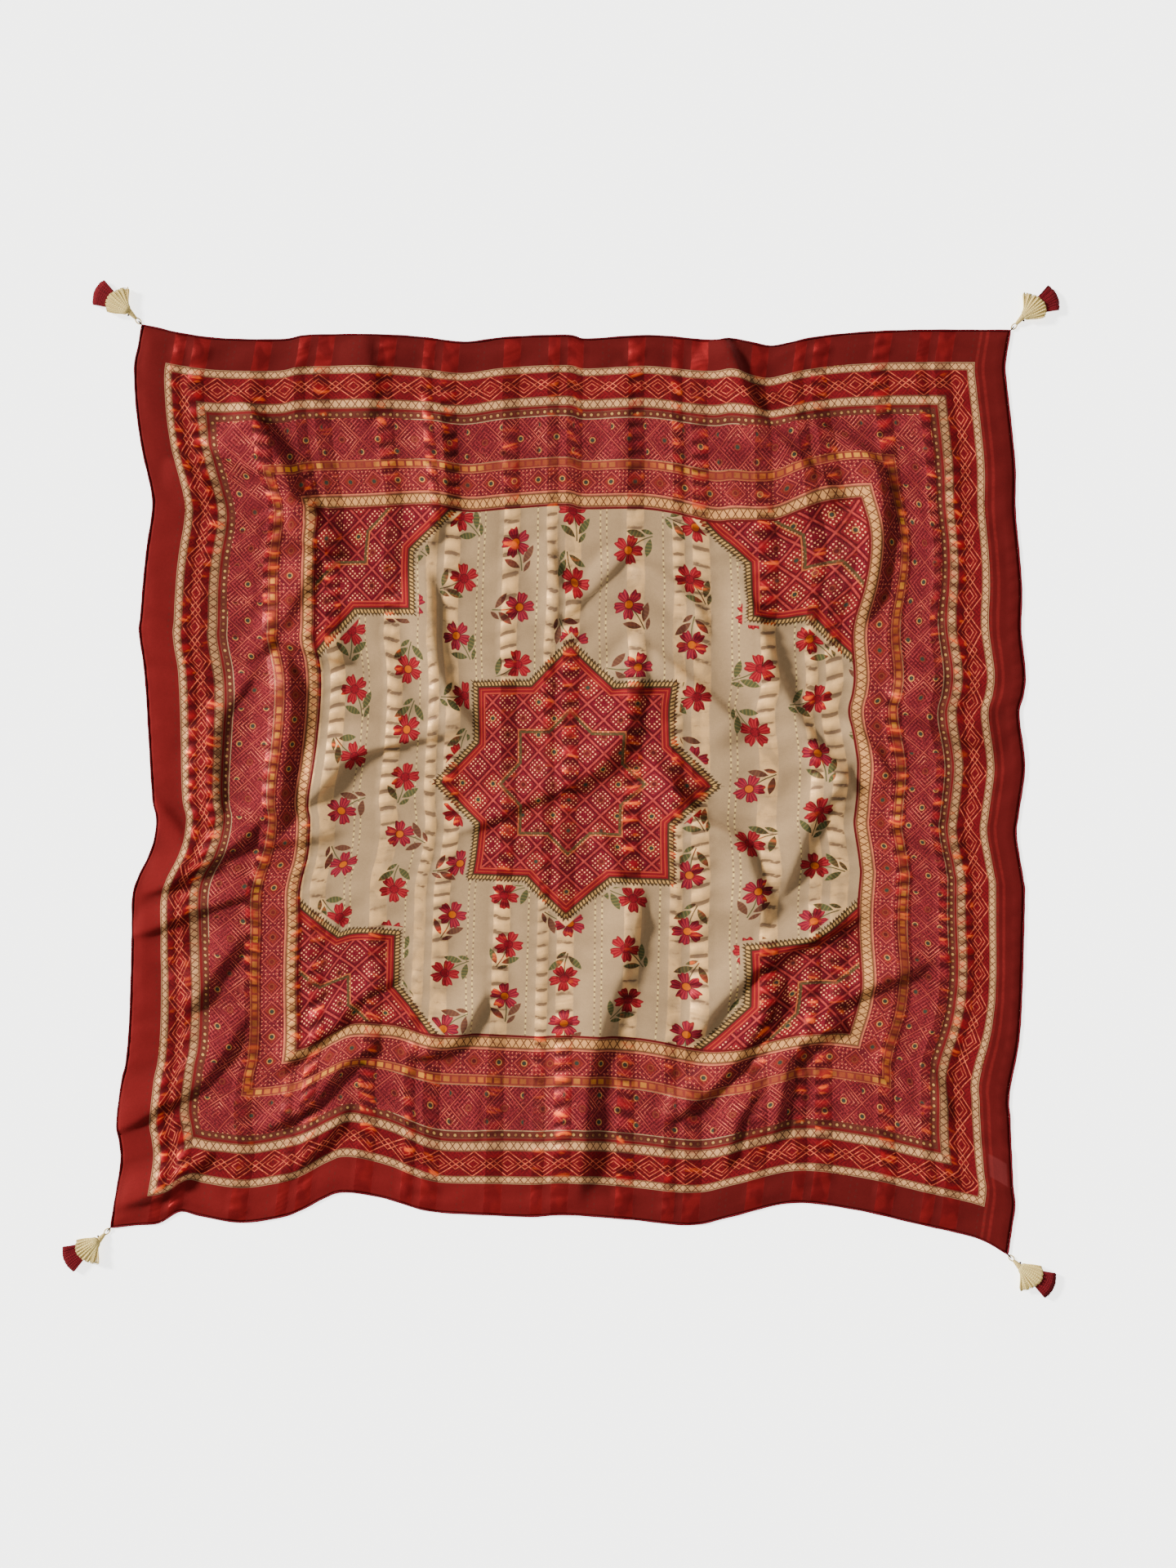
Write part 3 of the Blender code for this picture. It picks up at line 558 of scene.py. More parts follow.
def plan(u, v):
    """Where points of the flat square lie on the floor, before the folds lift them."""
    s = (u / SIDE + 0.5)[..., None]
    t = (v / SIDE + 0.5)[..., None]
    bottom_left, bottom_right = np.array(EDGE_BOTTOM[0]), np.array(EDGE_BOTTOM[-1])
    top_left, top_right = np.array(EDGE_TOP[0]), np.array(EDGE_TOP[-1])
    low = (1 - s) * bottom_left + s * bottom_right
    high = (1 - s) * top_left + s * top_right
    left = (1 - t) * bottom_left + t * top_left
    right = (1 - t) * bottom_right + t * top_right
    place = (1 - t) * low + t * high
    place = place + (along(EDGE_BOTTOM, s[..., 0]) - low) * edge_share(t)
    place = place + (along(EDGE_TOP, s[..., 0]) - high) * edge_share(1 - t)
    place = place + (along(EDGE_LEFT, t[..., 0]) - left) * edge_share(s)
    place = place + (along(EDGE_RIGHT, t[..., 0]) - right) * edge_share(1 - s)
    for middle_u, middle_v, reach_u, reach_v, shift_x, shift_y in PULLS:
        weight = np.exp(-(((u - middle_u) / reach_u) ** 2) - ((v - middle_v) / reach_v) ** 2)
        place = place + weight[..., None] * np.array((shift_x, shift_y))
    return place


def nearest_on(curve, points):
    """Each point's offset from a curve, the curve's heading there, and the lengths to its two ends."""
    steps = np.diff(curve, axis=0)
    lengths = np.linalg.norm(steps, axis=1)
    headings = steps / lengths[:, None]
    offsets = points[:, None, :] - curve[None, :-1, :]
    reach = np.clip((offsets * headings).sum(-1), 0, lengths)
    gaps = offsets - reach[..., None] * headings
    nearest = np.argmin((gaps**2).sum(-1), axis=1)
    chosen = (np.arange(len(points)), nearest)
    starts = np.cumsum(lengths) - lengths
    done = starts[nearest] + reach[chosen]
    return gaps[chosen], headings[nearest], done, lengths.sum() - done


def run_out(curve, length):
    """The curve with a straight length more at each end."""
    first = curve[0] - curve[1]
    last = curve[-1] - curve[-2]
    first = curve[0] + length * first / np.linalg.norm(first)
    last = curve[-1] + length * last / np.linalg.norm(last)
    return np.vstack([first, curve, last])


def fold_height(place, height, long_side, steep_side, foot):
    """One fold's height at each place, and the direction towards its steep side."""
    curve = run_out(smooth_curve(foot, 6), FOLD_RUN_OUT * long_side)
    chord = curve[-1] - curve[0]
    side = 1.0 if chord[1] * STEEP_SIDE[0] - chord[0] * STEEP_SIDE[1] > 0 else -1.0
    margin = FOLD_MARGIN * long_side
    near = np.all((place > curve.min(0) - margin) & (place < curve.max(0) + margin), axis=-1)
    lift = np.zeros(place.shape[:-1])
    lean = np.zeros(place.shape)
    gap, heading, done, ahead = nearest_on(curve, place[near])
    away = side * np.stack([heading[:, 1], -heading[:, 0]], -1)
    across = (gap * away).sum(-1) + FOOT_SHARE * steep_side
    ends = smoothstep(np.minimum(done, ahead) / (FOLD_RISE * long_side))
    width = np.where(across < 0, long_side, steep_side) * (1 + ends) / 2
    beyond = (gap * heading).sum(-1) / steep_side
    value = height * ends * np.exp(-((across / width) ** 2) - beyond**2)
    lift[near] = value
    lean[near] = away * value[:, None]
    return lift, lean


def swell(place):
    """The slow rise and fall of the cloth between its folds."""
    x, y = place[..., 0], place[..., 1]
    (bend_x, bend_x_wave), (bend_y, bend_y_wave) = SLOW_BENDS
    slow_x = np.sin(x / SLOW_WAVES[0] + bend_x * np.sin(y / bend_x_wave))
    slow_y = np.cos(y / SLOW_WAVES[1] + bend_y * np.sin(x / bend_y_wave))
    bend = SLANT_BEND[0] * np.sin((y - x) / SLANT_BEND[1])
    slant = np.sin((x + SLANT_TILT * y) / SLANT_WAVE + bend)
    return SWELL_SLOW * slow_x * slow_y + SWELL_SLANT * slant


def lay(u, v):
    """Where points of the flat square lie in the laid scarf, in millimetres."""
    place = plan(u, v)
    total = np.zeros(u.shape)
    lean = np.zeros(place.shape)
    for fold in FOLDS:
        lift, drift = fold_height(place, *fold)
        total += lift**BLEND_POWER
        lean += drift
    lift = total ** (1 / BLEND_POWER) + swell(place)
    lift = np.maximum(lift - REST_LIFT, 0)
    out = np.abs(place - np.array(LABEL_PLACE)) - np.array(LABEL_SIZE) / 2 - LABEL_MARGIN
    over_label = 1 - smoothstep(np.max(out, axis=-1) / LABEL_SLOPE)
    lift = np.maximum(lift, LABEL_CLEARANCE * over_label)
    edge = HALF - np.maximum(np.abs(u), np.abs(v))
    place = place + LEAN * lean * smoothstep(edge / EDGE_HOLD)[..., None]
    return np.concatenate([place, lift[..., None]], -1)


# Numbers and colours worked out in a material's node tree


def fill(tree, node, inputs):
    """Links a node's inputs to these terms and sockets, or sets them to these values."""
    for key, value in inputs.items():
        if isinstance(value, Term):
            value = value.socket
        if isinstance(value, bpy.types.NodeSocket):
            tree.links.new(value, node.inputs[key])
        else:
            node.inputs[key].default_value = value


def new_node(tree, kind, inputs, **settings):
    """A node with these settings and inputs."""
    node = tree.nodes.new(kind)
    for name, value in settings.items():
        setattr(node, name, value)
    fill(tree, node, inputs)
    return node


def worked_out(tree, operation, *values):
    """The result of one operation on terms and numbers."""
    node = new_node(tree, "ShaderNodeMath", dict(enumerate(values)), operation=operation)
    return Term(tree, node.outputs[0])


class Term:
    """A value in a node tree that adds, multiplies and compares like a number."""

    def __init__(self, tree, socket):
        self.tree = tree
        self.socket = socket

    def calc(self, operation, *others):
        return worked_out(self.tree, operation, self, *others)

    def __add__(self, other):
        return self.calc("ADD", other)

    __radd__ = __add__

    def __mul__(self, other):
        return self.calc("MULTIPLY", other)

    __rmul__ = __mul__

    def __sub__(self, other):
        return self.calc("SUBTRACT", other)

    def __rsub__(self, other):
        return worked_out(self.tree, "SUBTRACT", other, self)

    def __truediv__(self, other):
        return self.calc("DIVIDE", other)

    def size(self):
        return self.calc("ABSOLUTE")

    def least(self, other):
        return self.calc("MINIMUM", other)

    def most(self, other):
        return self.calc("MAXIMUM", other)

    def floor(self):
        return self.calc("FLOOR")

    def part(self):
        return self.calc("FRACT")

    def sine(self):
        return self.calc("SINE")

    def over(self, limit):
        """1 where this value is over the limit, 0 elsewhere."""
        return self.calc("GREATER_THAN", limit)


def above(value, edge, soft=0.5):
    """1 where the value is above the edge, 0 below, over a soft step."""
    ends = {"Value": value, "From Min": edge - soft / 2, "From Max": edge + soft / 2}
    return Term(value.tree, new_node(value.tree, "ShaderNodeMapRange", ends).outputs["Result"])


def below(value, edge, soft=0.5):
    return 1 - above(value, edge, soft)


def band(value, limits, soft=0.5):
    """1 where the value is between the two limits."""
    return above(value, limits[0], soft) * below(value, limits[1], soft)


def line(value, middle, width, soft=0.5):
    """1 on a line of this width where the value is at the middle."""
    return below((value - middle).size(), width / 2, soft)


def distance(a, b):
    return (a * a + b * b).calc("SQRT")


def fold_back(value, pitch):
    """The signed distance from the nearest middle of cells of this pitch."""
    return ((value / pitch).part() - 0.5) * pitch


def off_middle(turns):
    """How far a repeat's place is from the repeat's middle, from 0 to a half."""
    return (turns.part() - 0.5).size()


def cell(value, pitch):
    return (value / pitch).floor()


def chance(tree, a, b, seed):
    """A random number from 0 to 1 for each pair of cell numbers."""
    numbers = a + b * CHANCE_STEPS[0] + seed * CHANCE_STEPS[1]
    node = new_node(tree, "ShaderNodeTexWhiteNoise", {"W": numbers}, noise_dimensions="1D")
    return Term(tree, node.outputs["Value"])


def picked(pick, limit):
    """1 for the cells whose random number is above the limit."""
    return above(pick, limit, 0.01)


def cloud(tree, a, b, scale, detail=2.0):
    """Smooth noise over two coordinates."""
    joined = new_node(tree, "ShaderNodeCombineXYZ", {0: a, 1: b})
    inputs = {"Scale": scale, "Detail": detail, "Vector": joined.outputs[0]}
    return Term(tree, new_node(tree, "ShaderNodeTexNoise", inputs).outputs["Fac"])


def linear(color):
    """A colour given from 0 to 255 as it shows, in linear light."""
    return tuple(((c / 255 + 0.055) / 1.055) ** 2.4 if c > 10 else c / 255 / 12.92 for c in color)


class Paint:
    """A colour in a node tree that other colours are laid over."""

    def __init__(self, tree, color):
        self.tree = tree
        self.value = (*linear(color), 1.0) if isinstance(color, tuple) else color

    def over(self, mask, color):
        """This colour with another one over it where the mask is 1."""
        if isinstance(color, tuple):
            color = Paint(self.tree, color)
        inputs = {0: mask, 6: self.value, 7: color.value}
        return Paint(self.tree, new_node(self.tree, "ShaderNodeMix", inputs, data_type="RGBA").outputs[2])

    def shaded(self, factor):
        """This colour times a factor."""
        inputs = {0: self.value, "Scale": factor}
        node = new_node(self.tree, "ShaderNodeVectorMath", inputs, operation="SCALE")
        return Paint(self.tree, node.outputs[0])


def new_material(name):
    """A material with its node tree and its shader."""
    material = bpy.data.materials.new(name)
    material.use_nodes = True
    tree = material.node_tree
    return material, tree, tree.nodes["Principled BSDF"]


def set_bump(tree, shader, height, depth, strength=1.0):
    bump = new_node(tree, "ShaderNodeBump", {"Strength": strength, "Distance": depth, "Height": height})
    fill(tree, shader, {"Normal": bump.outputs[0]})


def two_places(tree, socket):
    """The first two coordinates of a place."""
    split = new_node(tree, "ShaderNodeSeparateXYZ", {0: socket})
    return Term(tree, split.outputs[0]), Term(tree, split.outputs[1])


def layer_places(tree, layer):
    """A place in one of the mesh's UV layers."""
    return two_places(tree, new_node(tree, "ShaderNodeUVMap", {}, uv_map=layer).outputs[0])


def object_places(tree):
    return two_places(tree, tree.nodes.new("ShaderNodeTexCoord").outputs["Object"])


# The print


class FlatCloth:
    """A place on the flat cloth in millimetres, with the smooth noises that its patterns share."""

    def __init__(self, tree):
        self.tree = tree
        across, upward = layer_places(tree, "flat")
        self.u = (across - 0.5) * SIDE
        self.v = (upward - 0.5) * SIDE
        wide, tall = self.u.size(), self.v.size()
        self.edge = HALF - wide.most(tall)
        self.way = self.u + (self.v - self.u) * wide.over(tall)
        self.wander = self.grain("wander")
        self.gaps = above(self.grain("gaps"), 0.5, 0.12)
        self.broad = self.grain("broad")
        self.fine = self.grain("fine")

    def grain(self, name):
        """One of the smooth noises over the flat cloth."""
        scale, detail, number, stretch = NOISES[name]
        place = new_node(self.tree, "ShaderNodeUVMap", {}, uv_map="flat")
        shift = (NOISE_STEPS[0] * number, NOISE_STEPS[1] * number, 0.0)
        wide = (SIDE * stretch, SIDE, 1.0)
        inputs = {"Location": shift, "Scale": wide, "Vector": place.outputs[0]}
        spread = new_node(self.tree, "ShaderNodeMapping", inputs)
        inputs = {"Scale": scale, "Detail": detail, "Vector": spread.outputs[0]}
        return Term(self.tree, new_node(self.tree, "ShaderNodeTexNoise", inputs).outputs["Fac"])

    def edge_cell(self, pitch, seed):
        """A random number for each cell of a row along the four sides."""
        side = (self.u + self.v).over(0.0) * 2.0 + (self.u - self.v).over(0.0)
        return chance(self.tree, cell(self.way, pitch), side, seed)

    def stripe_place(self):
        """The place across the repeating stripes, from 0 to one period."""
        return ((self.u + (HALF - STRIPE_START)) / STRIPE_PERIOD).part() * STRIPE_PERIOD

    def stitches(self, u, v, pitch):
        """Short slanting strokes of thread, broken and uneven."""
        bend = self.wander * STITCH_BEND
        first = above(((u + v) / pitch + bend).sine(), 0.25, 0.5)
        second = above(((u - v) / pitch - bend).sine(), 0.25, 0.5)
        return first * self.gaps + second * (1 - self.gaps)


def paint_strokes(paint, cloth, u, v, there, rows):
    """Strokes of thread, one layer for each row of a table."""
    for turned, pitch, strength, color in rows:
        first, second = (v, u) if turned else (u, v)
        paint = paint.over(there * cloth.stitches(first, second, pitch) * strength, color)
    return paint


def paint_lines(paint, value, half, there, rows):
    """Lines round a middle, one for each row of a table."""
    for share, more, width, strength, color in rows:
        paint = paint.over(there * line(value, half * share + more, width) * strength, color)
    return paint


def any_line(values, half, rows):
    """1 on any line of a table."""
    lines = [line(values[which], half * share, width) for which, share, width in rows]
    found = lines[0]
    for other in lines[1:]:
        found = found.most(other)
    return found


def middle_of(limits):
    """The middle and half the width of a band."""
    return (limits[0] + limits[1]) / 2, (limits[1] - limits[0]) / 2


def diamonds(wide, tall, half, pitch):
    """How far a place is from the middle of its diamond, and from the middles between the diamonds."""
    steep = half / (pitch / 2)
    return wide * steep + tall, (pitch / 2 - wide) * steep + tall


def paint_braid(paint, cloth, limits, light=CREAM):
    """A flat cream plait between two dark threads."""
    across = (cloth.edge - limits[0]) / (limits[1] - limits[0])
    one = off_middle(cloth.way / BRAID_STITCH + across * BRAID_SLANT)
    two = off_middle(cloth.way / BRAID_STITCH - across * BRAID_SLANT)
    crossing = below(one.least(two), BRAID_THREAD, 0.06)
    rims = 1 - band(across, (BRAID_RIM, 1 - BRAID_RIM), 0.12)
    there = band(cloth.edge, limits)
    return paint.over(there, light).over(there * (crossing * 0.9).most(rims * 0.85), CREAM_DARK)


def paint_lozenges(paint, cloth):
    """Crossed and nested lozenges on the red band."""
    middle, half = middle_of(LOZENGES)
    there = band(cloth.edge, LOZENGES)
    tall = (cloth.edge - middle).size()
    wide = fold_back(cloth.way, LOZENGE_PITCH).size()
    reach = diamonds(wide, tall, half, LOZENGE_PITCH)
    lines = any_line(reach, half, LOZENGE_LINES)
    paint = paint.over(there, RED_BAND)
    paint = paint.over(there * any_line(reach, half, LOZENGE_SHADES) * 0.85, LOZENGE_SHADE)
    paint = paint_strokes(paint, cloth, cloth.u, cloth.v, there, LOZENGE_STROKES)
    worn = above(cloth.wander, 0.45, 0.4) * 0.35 + above(cloth.fine, 0.5, 0.2) * 0.35 + 0.05
    return paint.over(there * lines * worn, LOZENGE_LIGHT)


def paint_dots(paint, cloth):
    """A brown stripe with a row of cream dots."""
    low, high = DOTS
    paint = paint.over(band(cloth.edge, (BRAID_2[1], low + DOT_RIM)), DOT_RED)
    paint = paint.over(band(cloth.edge, (low + DOT_RIM, high - 1.0)), BROWN)
    spot = distance(fold_back(cloth.way, DOT_PITCH), cloth.edge - (low + high) / 2)
    paint = paint.over(line(spot, DOT_RADIUS + 0.7, 0.7, 0.6) * 0.5, DOT_SHADE)
    worn = above(cloth.wander, 0.47, 0.2) * 0.65 + 0.12
    return paint.over(below(spot, DOT_RADIUS, 0.9) * band(cloth.edge, DOTS) * worn, DOT_CREAM)


def paint_eye(paint, cloth, across, up, there, pick):
    """A small round eye: green or dark in the middle, inside a light ring."""
    spot = distance(across, up)
    strong = (picked(pick, 0.6) * 0.5 + 0.08) * (cloth.fine + 0.25)
    paint = paint.over(there * below(spot, EYE_RADIUS * 2, 1.2) * 0.55, EYE_SHADE)
    paint = paint.over(there * line(spot, EYE_RADIUS + 0.7, 1.1) * strong, EYE_RING)
    middle = Paint(paint.tree, EYE_DARK).over(picked(pick, 0.5), GREEN_EYE)
    return paint.over(there * below(spot, EYE_RADIUS, 0.8) * (picked(pick, 0.35) * 0.5 + 0.35), middle)


def paint_lattice(paint, cloth):
    """Nested diamonds with eyes on the wide rose band."""
    middle, half = middle_of(LATTICE)
    there = band(cloth.edge, LATTICE)
    up = cloth.edge - middle
    wide = fold_back(cloth.way, LATTICE_PITCH)
    inner, outer = diamonds(wide.size(), up.size(), half, LATTICE_PITCH)
    paint = paint.over(there, ROSE).over(there * below(inner, half * 0.36) * 0.6, LATTICE_HEART)
    turn = ((inner + (outer - inner) * above(inner, half)) / LATTICE_RING).part()
    light = there * band(turn, (0.26, 0.6), 0.14)
    comb = above(off_middle((cloth.way + up) / LATTICE_COMB), 0.22, 0.2)
    bright = above(cloth.broad, 0.5, 0.4)
    paint = paint.over(there * below(turn, 0.2, 0.16) * 0.7, LATTICE_SHADE)
    paint = paint.over(light * (comb * 0.65 + 0.35) * (bright * 0.5 + 0.22), ROSE_LINE)
    paint = paint.over(light * comb * above(bright, 0.65, 0.3) * 0.6, LATTICE_STITCH)
    paint = paint_strokes(paint, cloth, cloth.u, cloth.v, there, LATTICE_STROKES)
    paint = paint_lines(paint, inner, half, there, LATTICE_RIMS)
    paint = paint.over(there * line(inner, half, 1.3) * (bright * 0.5 + 0.2), LATTICE_LIGHT)
    paint = paint_eye(paint, cloth, wide, up, there, cloth.edge_cell(LATTICE_PITCH, 5.0))
    side = wide.size() - LATTICE_PITCH / 2
    for shift in (-half * EYE_SHIFT, half * EYE_SHIFT):
        pick = cloth.edge_cell(LATTICE_PITCH, 7.0 + shift)
        paint = paint_eye(paint, cloth, side, up - shift, there * picked(pick, 0.35), pick * 0.9)
    return paint


def paint_orange(paint, cloth):
    """The row of orange and yellow dashes."""
    low, high = ORANGE
    there = band(cloth.edge, ORANGE)
    paint = paint.over(there, ORANGE_GROUND)
    lively = above(cloth.grain("lively"), 0.5, 0.12) * 0.6 + 0.2
    dash = below(off_middle(cloth.way / DASH_PITCH), 0.36, 0.1)
    row = band(cloth.edge, (low + DASH_RIM, high - DASH_RIM), 0.8)
    pick = cloth.edge_cell(DASH_PITCH, 2.0)
    tint = Paint(cloth.tree, ORANGE_DASH).over(picked(pick, 0.55), DASH_YELLOW)
    tint = tint.over(picked(pick, 0.85) * 0.8, DASH_RED)
    paint = paint.over(there * dash * row * lively, tint)
    rims = line(cloth.edge, low + 0.6, 1.0).most(line(cloth.edge, high - 0.6, 1.0))
    return paint.over(rims * 0.7, DASH_THREAD)


def paint_eyes(paint, cloth):
    """The narrower rose band with a row of eyes in lozenges."""
    middle, half = middle_of(EYES)
    there = band(cloth.edge, EYES)
    paint = paint.over(there, EYES_GROUND)
    patches = there * above(cloth.broad, 0.42, 0.2)
    paint = paint_strokes(paint, cloth, cloth.u, cloth.v, patches, EYES_LIGHT_STROKES)
    paint = paint_strokes(paint, cloth, cloth.u, cloth.v, there, EYES_DARK_STROKES)
    wide, up = fold_back(cloth.way, EYE_PITCH), cloth.edge - middle
    inner = diamonds(wide.size(), up.size(), half, EYE_PITCH)[0]
    paint = paint_lines(paint, inner, half, there, EYES_LINES)
    paint = paint.over(there * below(inner, half * 0.55) * 0.45, EYES_HEART)
    paint = paint_eye(paint, cloth, wide, up, there, cloth.edge_cell(EYE_PITCH, 11.0))
    specks = fold_back(cloth.way, SPECK_PITCH).size() + fold_back(cloth.edge, SPECK_PITCH).size()
    paint = paint.over(there * below(specks, 0.9, 0.5) * above(inner, half) * 0.7, EYES_SPECK)
    return paint.over(line(cloth.edge, EYES[1], 1.4) * 0.8, EYES_THREAD)


def star_reach(a, b):
    """How far a place is from the middle of two crossed squares, as half the side of the squares."""
    a, b = a.size(), b.size()
    return a.most(b).least((a + b) * DIAGONAL)


def star_body(cloth, reach, half):
    """The star's inside: a lattice of dotted cells with eyes, and lines along the rim."""
    across, upward = (cloth.u + cloth.v) * DIAGONAL, (cloth.u - cloth.v) * DIAGONAL
    x, y = fold_back(across, STAR_CELL), fold_back(upward, STAR_CELL)
    pick = chance(cloth.tree, cell(across, STAR_CELL), cell(upward, STAR_CELL), 1.0)
    square, spot = x.size().most(y.size()), distance(x, y)
    body = Paint(cloth.tree, STAR_GROUND).over(picked(pick, 0.55) * 0.6, STAR_RED)
    body = paint_strokes(body, cloth, across, upward, 1.0, STAR_STROKES)
    dots = below(fold_back(across, DOT_GAP).size() + fold_back(upward, DOT_GAP).size(), 1.15, 0.5)
    cluster = below(spot, STAR_CELL * 0.4, 1.0) * above(spot, 3.6)
    body = body.over(dots * cluster * (cloth.fine + 0.4), STAR_DOT)
    body = body.over(above(square, STAR_CELL / 2 - 0.9, 0.6) * cloth.fine, STAR_GRID)
    body = paint_lines(body, square, STAR_CELL / 2, 1.0, STAR_GRID_SHADES)
    body = paint_eye(body, cloth, x, y, picked(pick, 0.25), pick * 0.9)
    body = paint_lines(body, reach, half, 1.0, STAR_RINGS)
    body = body.over(above(reach, half - STAR_FRAME), STAR_FRAME_RED)
    return paint_lines(body, reach, half, 1.0, STAR_FRAME_LINES)


def paint_star(paint, cloth, a, b, half):
    """An eight-pointed star with a toothed olive rim, and 1 where the star and its rim are."""
    reach = star_reach(a, b)
    body = star_body(cloth, reach, half)
    turn = a.size() + b.size() - a.size().most(b.size()) * math.sqrt(2)
    tooth = (turn / TOOTH).part()
    ragged = (tooth - 0.5).size() * 7.0 + (cloth.fine - 0.5) * 5.0
    rim = below(reach + ragged, half + 6.6, 0.8)
    bead = above(tooth, 0.5, 0.2) * line(reach, half + 0.8, 3.8, 0.8)
    paint = paint.over(rim, OLIVE).over(below(reach, half - 2.6), body).over(bead * 0.85, BEAD)
    return paint.over(line(reach, half - 2.8, 1.2) * 0.8, STAR_EDGE), rim


def leaf_share(ahead, aside, place, reach):
    """1 on a pointed leaf with this middle, which leans away from the stem."""
    start, side = place
    lean = LEAF_ASIDE if side > 0 else -LEAF_ASIDE
    along_leaf = (ahead - start) * LEAF_AHEAD + (aside - side) * lean
    across = (aside - side) * LEAF_AHEAD - (ahead - start) * lean
    room = (1 - (along_leaf / reach) * (along_leaf / reach)) * (reach * LEAF_WIDTH)
    return below(across.size() - room, 0.0, 0.7)


def paint_flower(paint, cloth, ahead, aside, pick, clear):
    """A five-petalled flower at the end of its stem, and 1 where it is."""
    angle = aside.calc("ARCTAN2", ahead)
    spot = distance(ahead, aside)
    petal = (angle * 2.5).calc("COSINE").size()
    ragged = (angle * 17.0).sine() * 0.8
    notch = above((angle * 5.0).calc("COSINE"), 0.55, 0.9) * 3.2
    shape = petal.calc("POWER", 0.6) * 14.5 + 4.5 + ragged - notch
    flower = below(spot - shape, 0.0, 0.9) * clear
    red = Paint(cloth.tree, PETAL).over(picked(pick, 0.6) * 0.7, PETAL_PURPLE)
    red = red.over(above(cloth.wander, 0.5, 0.3) * 0.5, PETAL_DEEP)
    strokes = above((angle * 22.0).sine(), 0.3, 0.5) * above(spot, 5.0, 1.4)
    red = red.over(strokes * 0.55, PETAL_EDGE)
    red = red.over(below(petal, 0.26, 0.24) * 0.75, PETAL_GAP)
    red = red.over(above(spot - shape, -1.6, 0.8) * 0.5, PETAL_RIM)
    red = red.over(below(spot, 4.4, 1.2) * picked(pick, 0.35) * 0.9, FLOWER_HEART)
    red = red.over(line(spot, 4.8, 1.1) * 0.7, FLOWER_RING)
    return paint.over(flower, red), flower


def paint_sprigs(paint, cloth, clear):
    """Small flowers with three leaves each, on a half-drop layout, and 1 where they are."""
    column = cell(cloth.u + SPRIG_PITCH / 2, SPRIG_PITCH)
    raised = cloth.v + (column * 0.5).part().over(0.25) * (SPRIG_PITCH / 2)
    row = cell(raised, SPRIG_PITCH)
    turn = chance(cloth.tree, column, row, 4.0) * (2 * math.pi)
    pick = chance(cloth.tree, column, row, 8.0)
    x = fold_back(cloth.u + SPRIG_PITCH / 2, SPRIG_PITCH)
    y = fold_back(raised, SPRIG_PITCH)
    cosine, sine = turn.calc("COSINE"), turn.sine()
    ahead = x * cosine + y * sine
    aside = y * cosine - x * sine
    bend = aside - (ahead * 0.14).sine() * 1.2
    stem = below(bend.size(), 0.7, 0.6) * band(ahead, (-SPRIG_REACH, 4.0)) * clear
    leaves = [leaf_share(ahead, aside, place, reach) for place, reach in LEAVES]
    leaf = leaves[0].most(leaves[1]).most(leaves[2]) * clear
    paint = paint.over(stem * 0.9, LEAF)
    vein = above((ahead * 0.9 + aside.size() * 1.4).sine(), 0.5, 0.4)
    green = Paint(cloth.tree, LEAF).over(vein * 0.6, LEAF_VEIN).over(picked(pick, 0.7) * 0.6, LEAF_RED)
    paint = paint.over(leaf, green)
    paint, flower = paint_flower(paint, cloth, ahead - FLOWER_PLACE, aside, pick, clear)
    return paint, flower.most(leaf).most(stem)


def print_colors(cloth):
    """The whole print, 1 where the field's ground is plain, and 1 on its sprigs."""
    paint = Paint(cloth.tree, GROUND).over(cloth.grain("weave") * 0.3, GROUND_DARK)
    field = above(cloth.edge, FIELD_LINE[1])
    a, b = FIELD_HALF - cloth.u.size(), FIELD_HALF - cloth.v.size()
    clear = above(star_reach(cloth.u, cloth.v), STAR_HALF + STAR_CLEAR, 1.0)
    clear = clear * above(star_reach(a, b), CORNER_HALF + STAR_CLEAR, 1.0) * field
    paint, sprigs = paint_sprigs(paint, cloth, clear)
    paint, star = paint_star(paint, cloth, cloth.u, cloth.v, STAR_HALF)
    paint, quarter = paint_star(paint, cloth, a, b, CORNER_HALF)
    paint = paint.over(band(cloth.edge, FIELD_LINE), LINE_RED)
    paint = paint.over(band(cloth.edge, (EYES[1], FIELD_LINE[0])), BRAID_GROUND)
    paint = paint_braid(paint, cloth, BRAID_3, BRAID_3_CREAM)
    for paint_band in (paint_eyes, paint_orange, paint_lattice, paint_dots):
        paint = paint_band(paint, cloth)
    paint = paint_braid(paint, cloth, BRAID_2)
    paint = paint_lozenges(paint, cloth)
    paint = paint_braid(paint, cloth, BRAID_1)
    # Painted light: the hem lighter towards the lower left
    left = below(cloth.u + cloth.v * 0.6, -HALF / 2, 300.0) * 0.9
    paint = paint.over(below(cloth.edge, HEM_END), Paint(cloth.tree, RED_HEM).over(left, RED_HEM_LIT))
    return paint, field * (1 - star.most(quarter)), sprigs


def paint_dashes(paint, cloth, bare):
    """The thin dashed lines between the satin stripes: light on the field, dark elsewhere."""
    place = cloth.stripe_place()
    worn = above(cloth.broad, 0.46, 0.3) * 0.4 + 0.1
    for middle in DASHES:
        near = line(place, middle, 1.5, 0.9)
        stitch = band((cloth.v / FIELD_STITCH + middle * 0.37).part(), (0.24, 0.84), 0.1)
        paint = paint.over(near * stitch * bare * worn, GROUND_DASH)
        paint = paint.over(near * (1 - stitch) * (bare * 0.3 + 0.3), DASH_GAP)
    return paint


def crinkle(cloth):
    """Cross lines of the puckered satin, from -1 to 1, which bump it and place its painted glints and
    painted shade.
    """
    wave = cloth.grain("wave")
    slant = cloth.grain("slant")
    broad = ((cloth.v / 3.1) + wave * 7.0 + slant * (cloth.u * 0.12)).sine()
    fine = ((cloth.v / 1.15) + wave * 19.0).sine()
    return broad * 0.6 + fine * 0.4


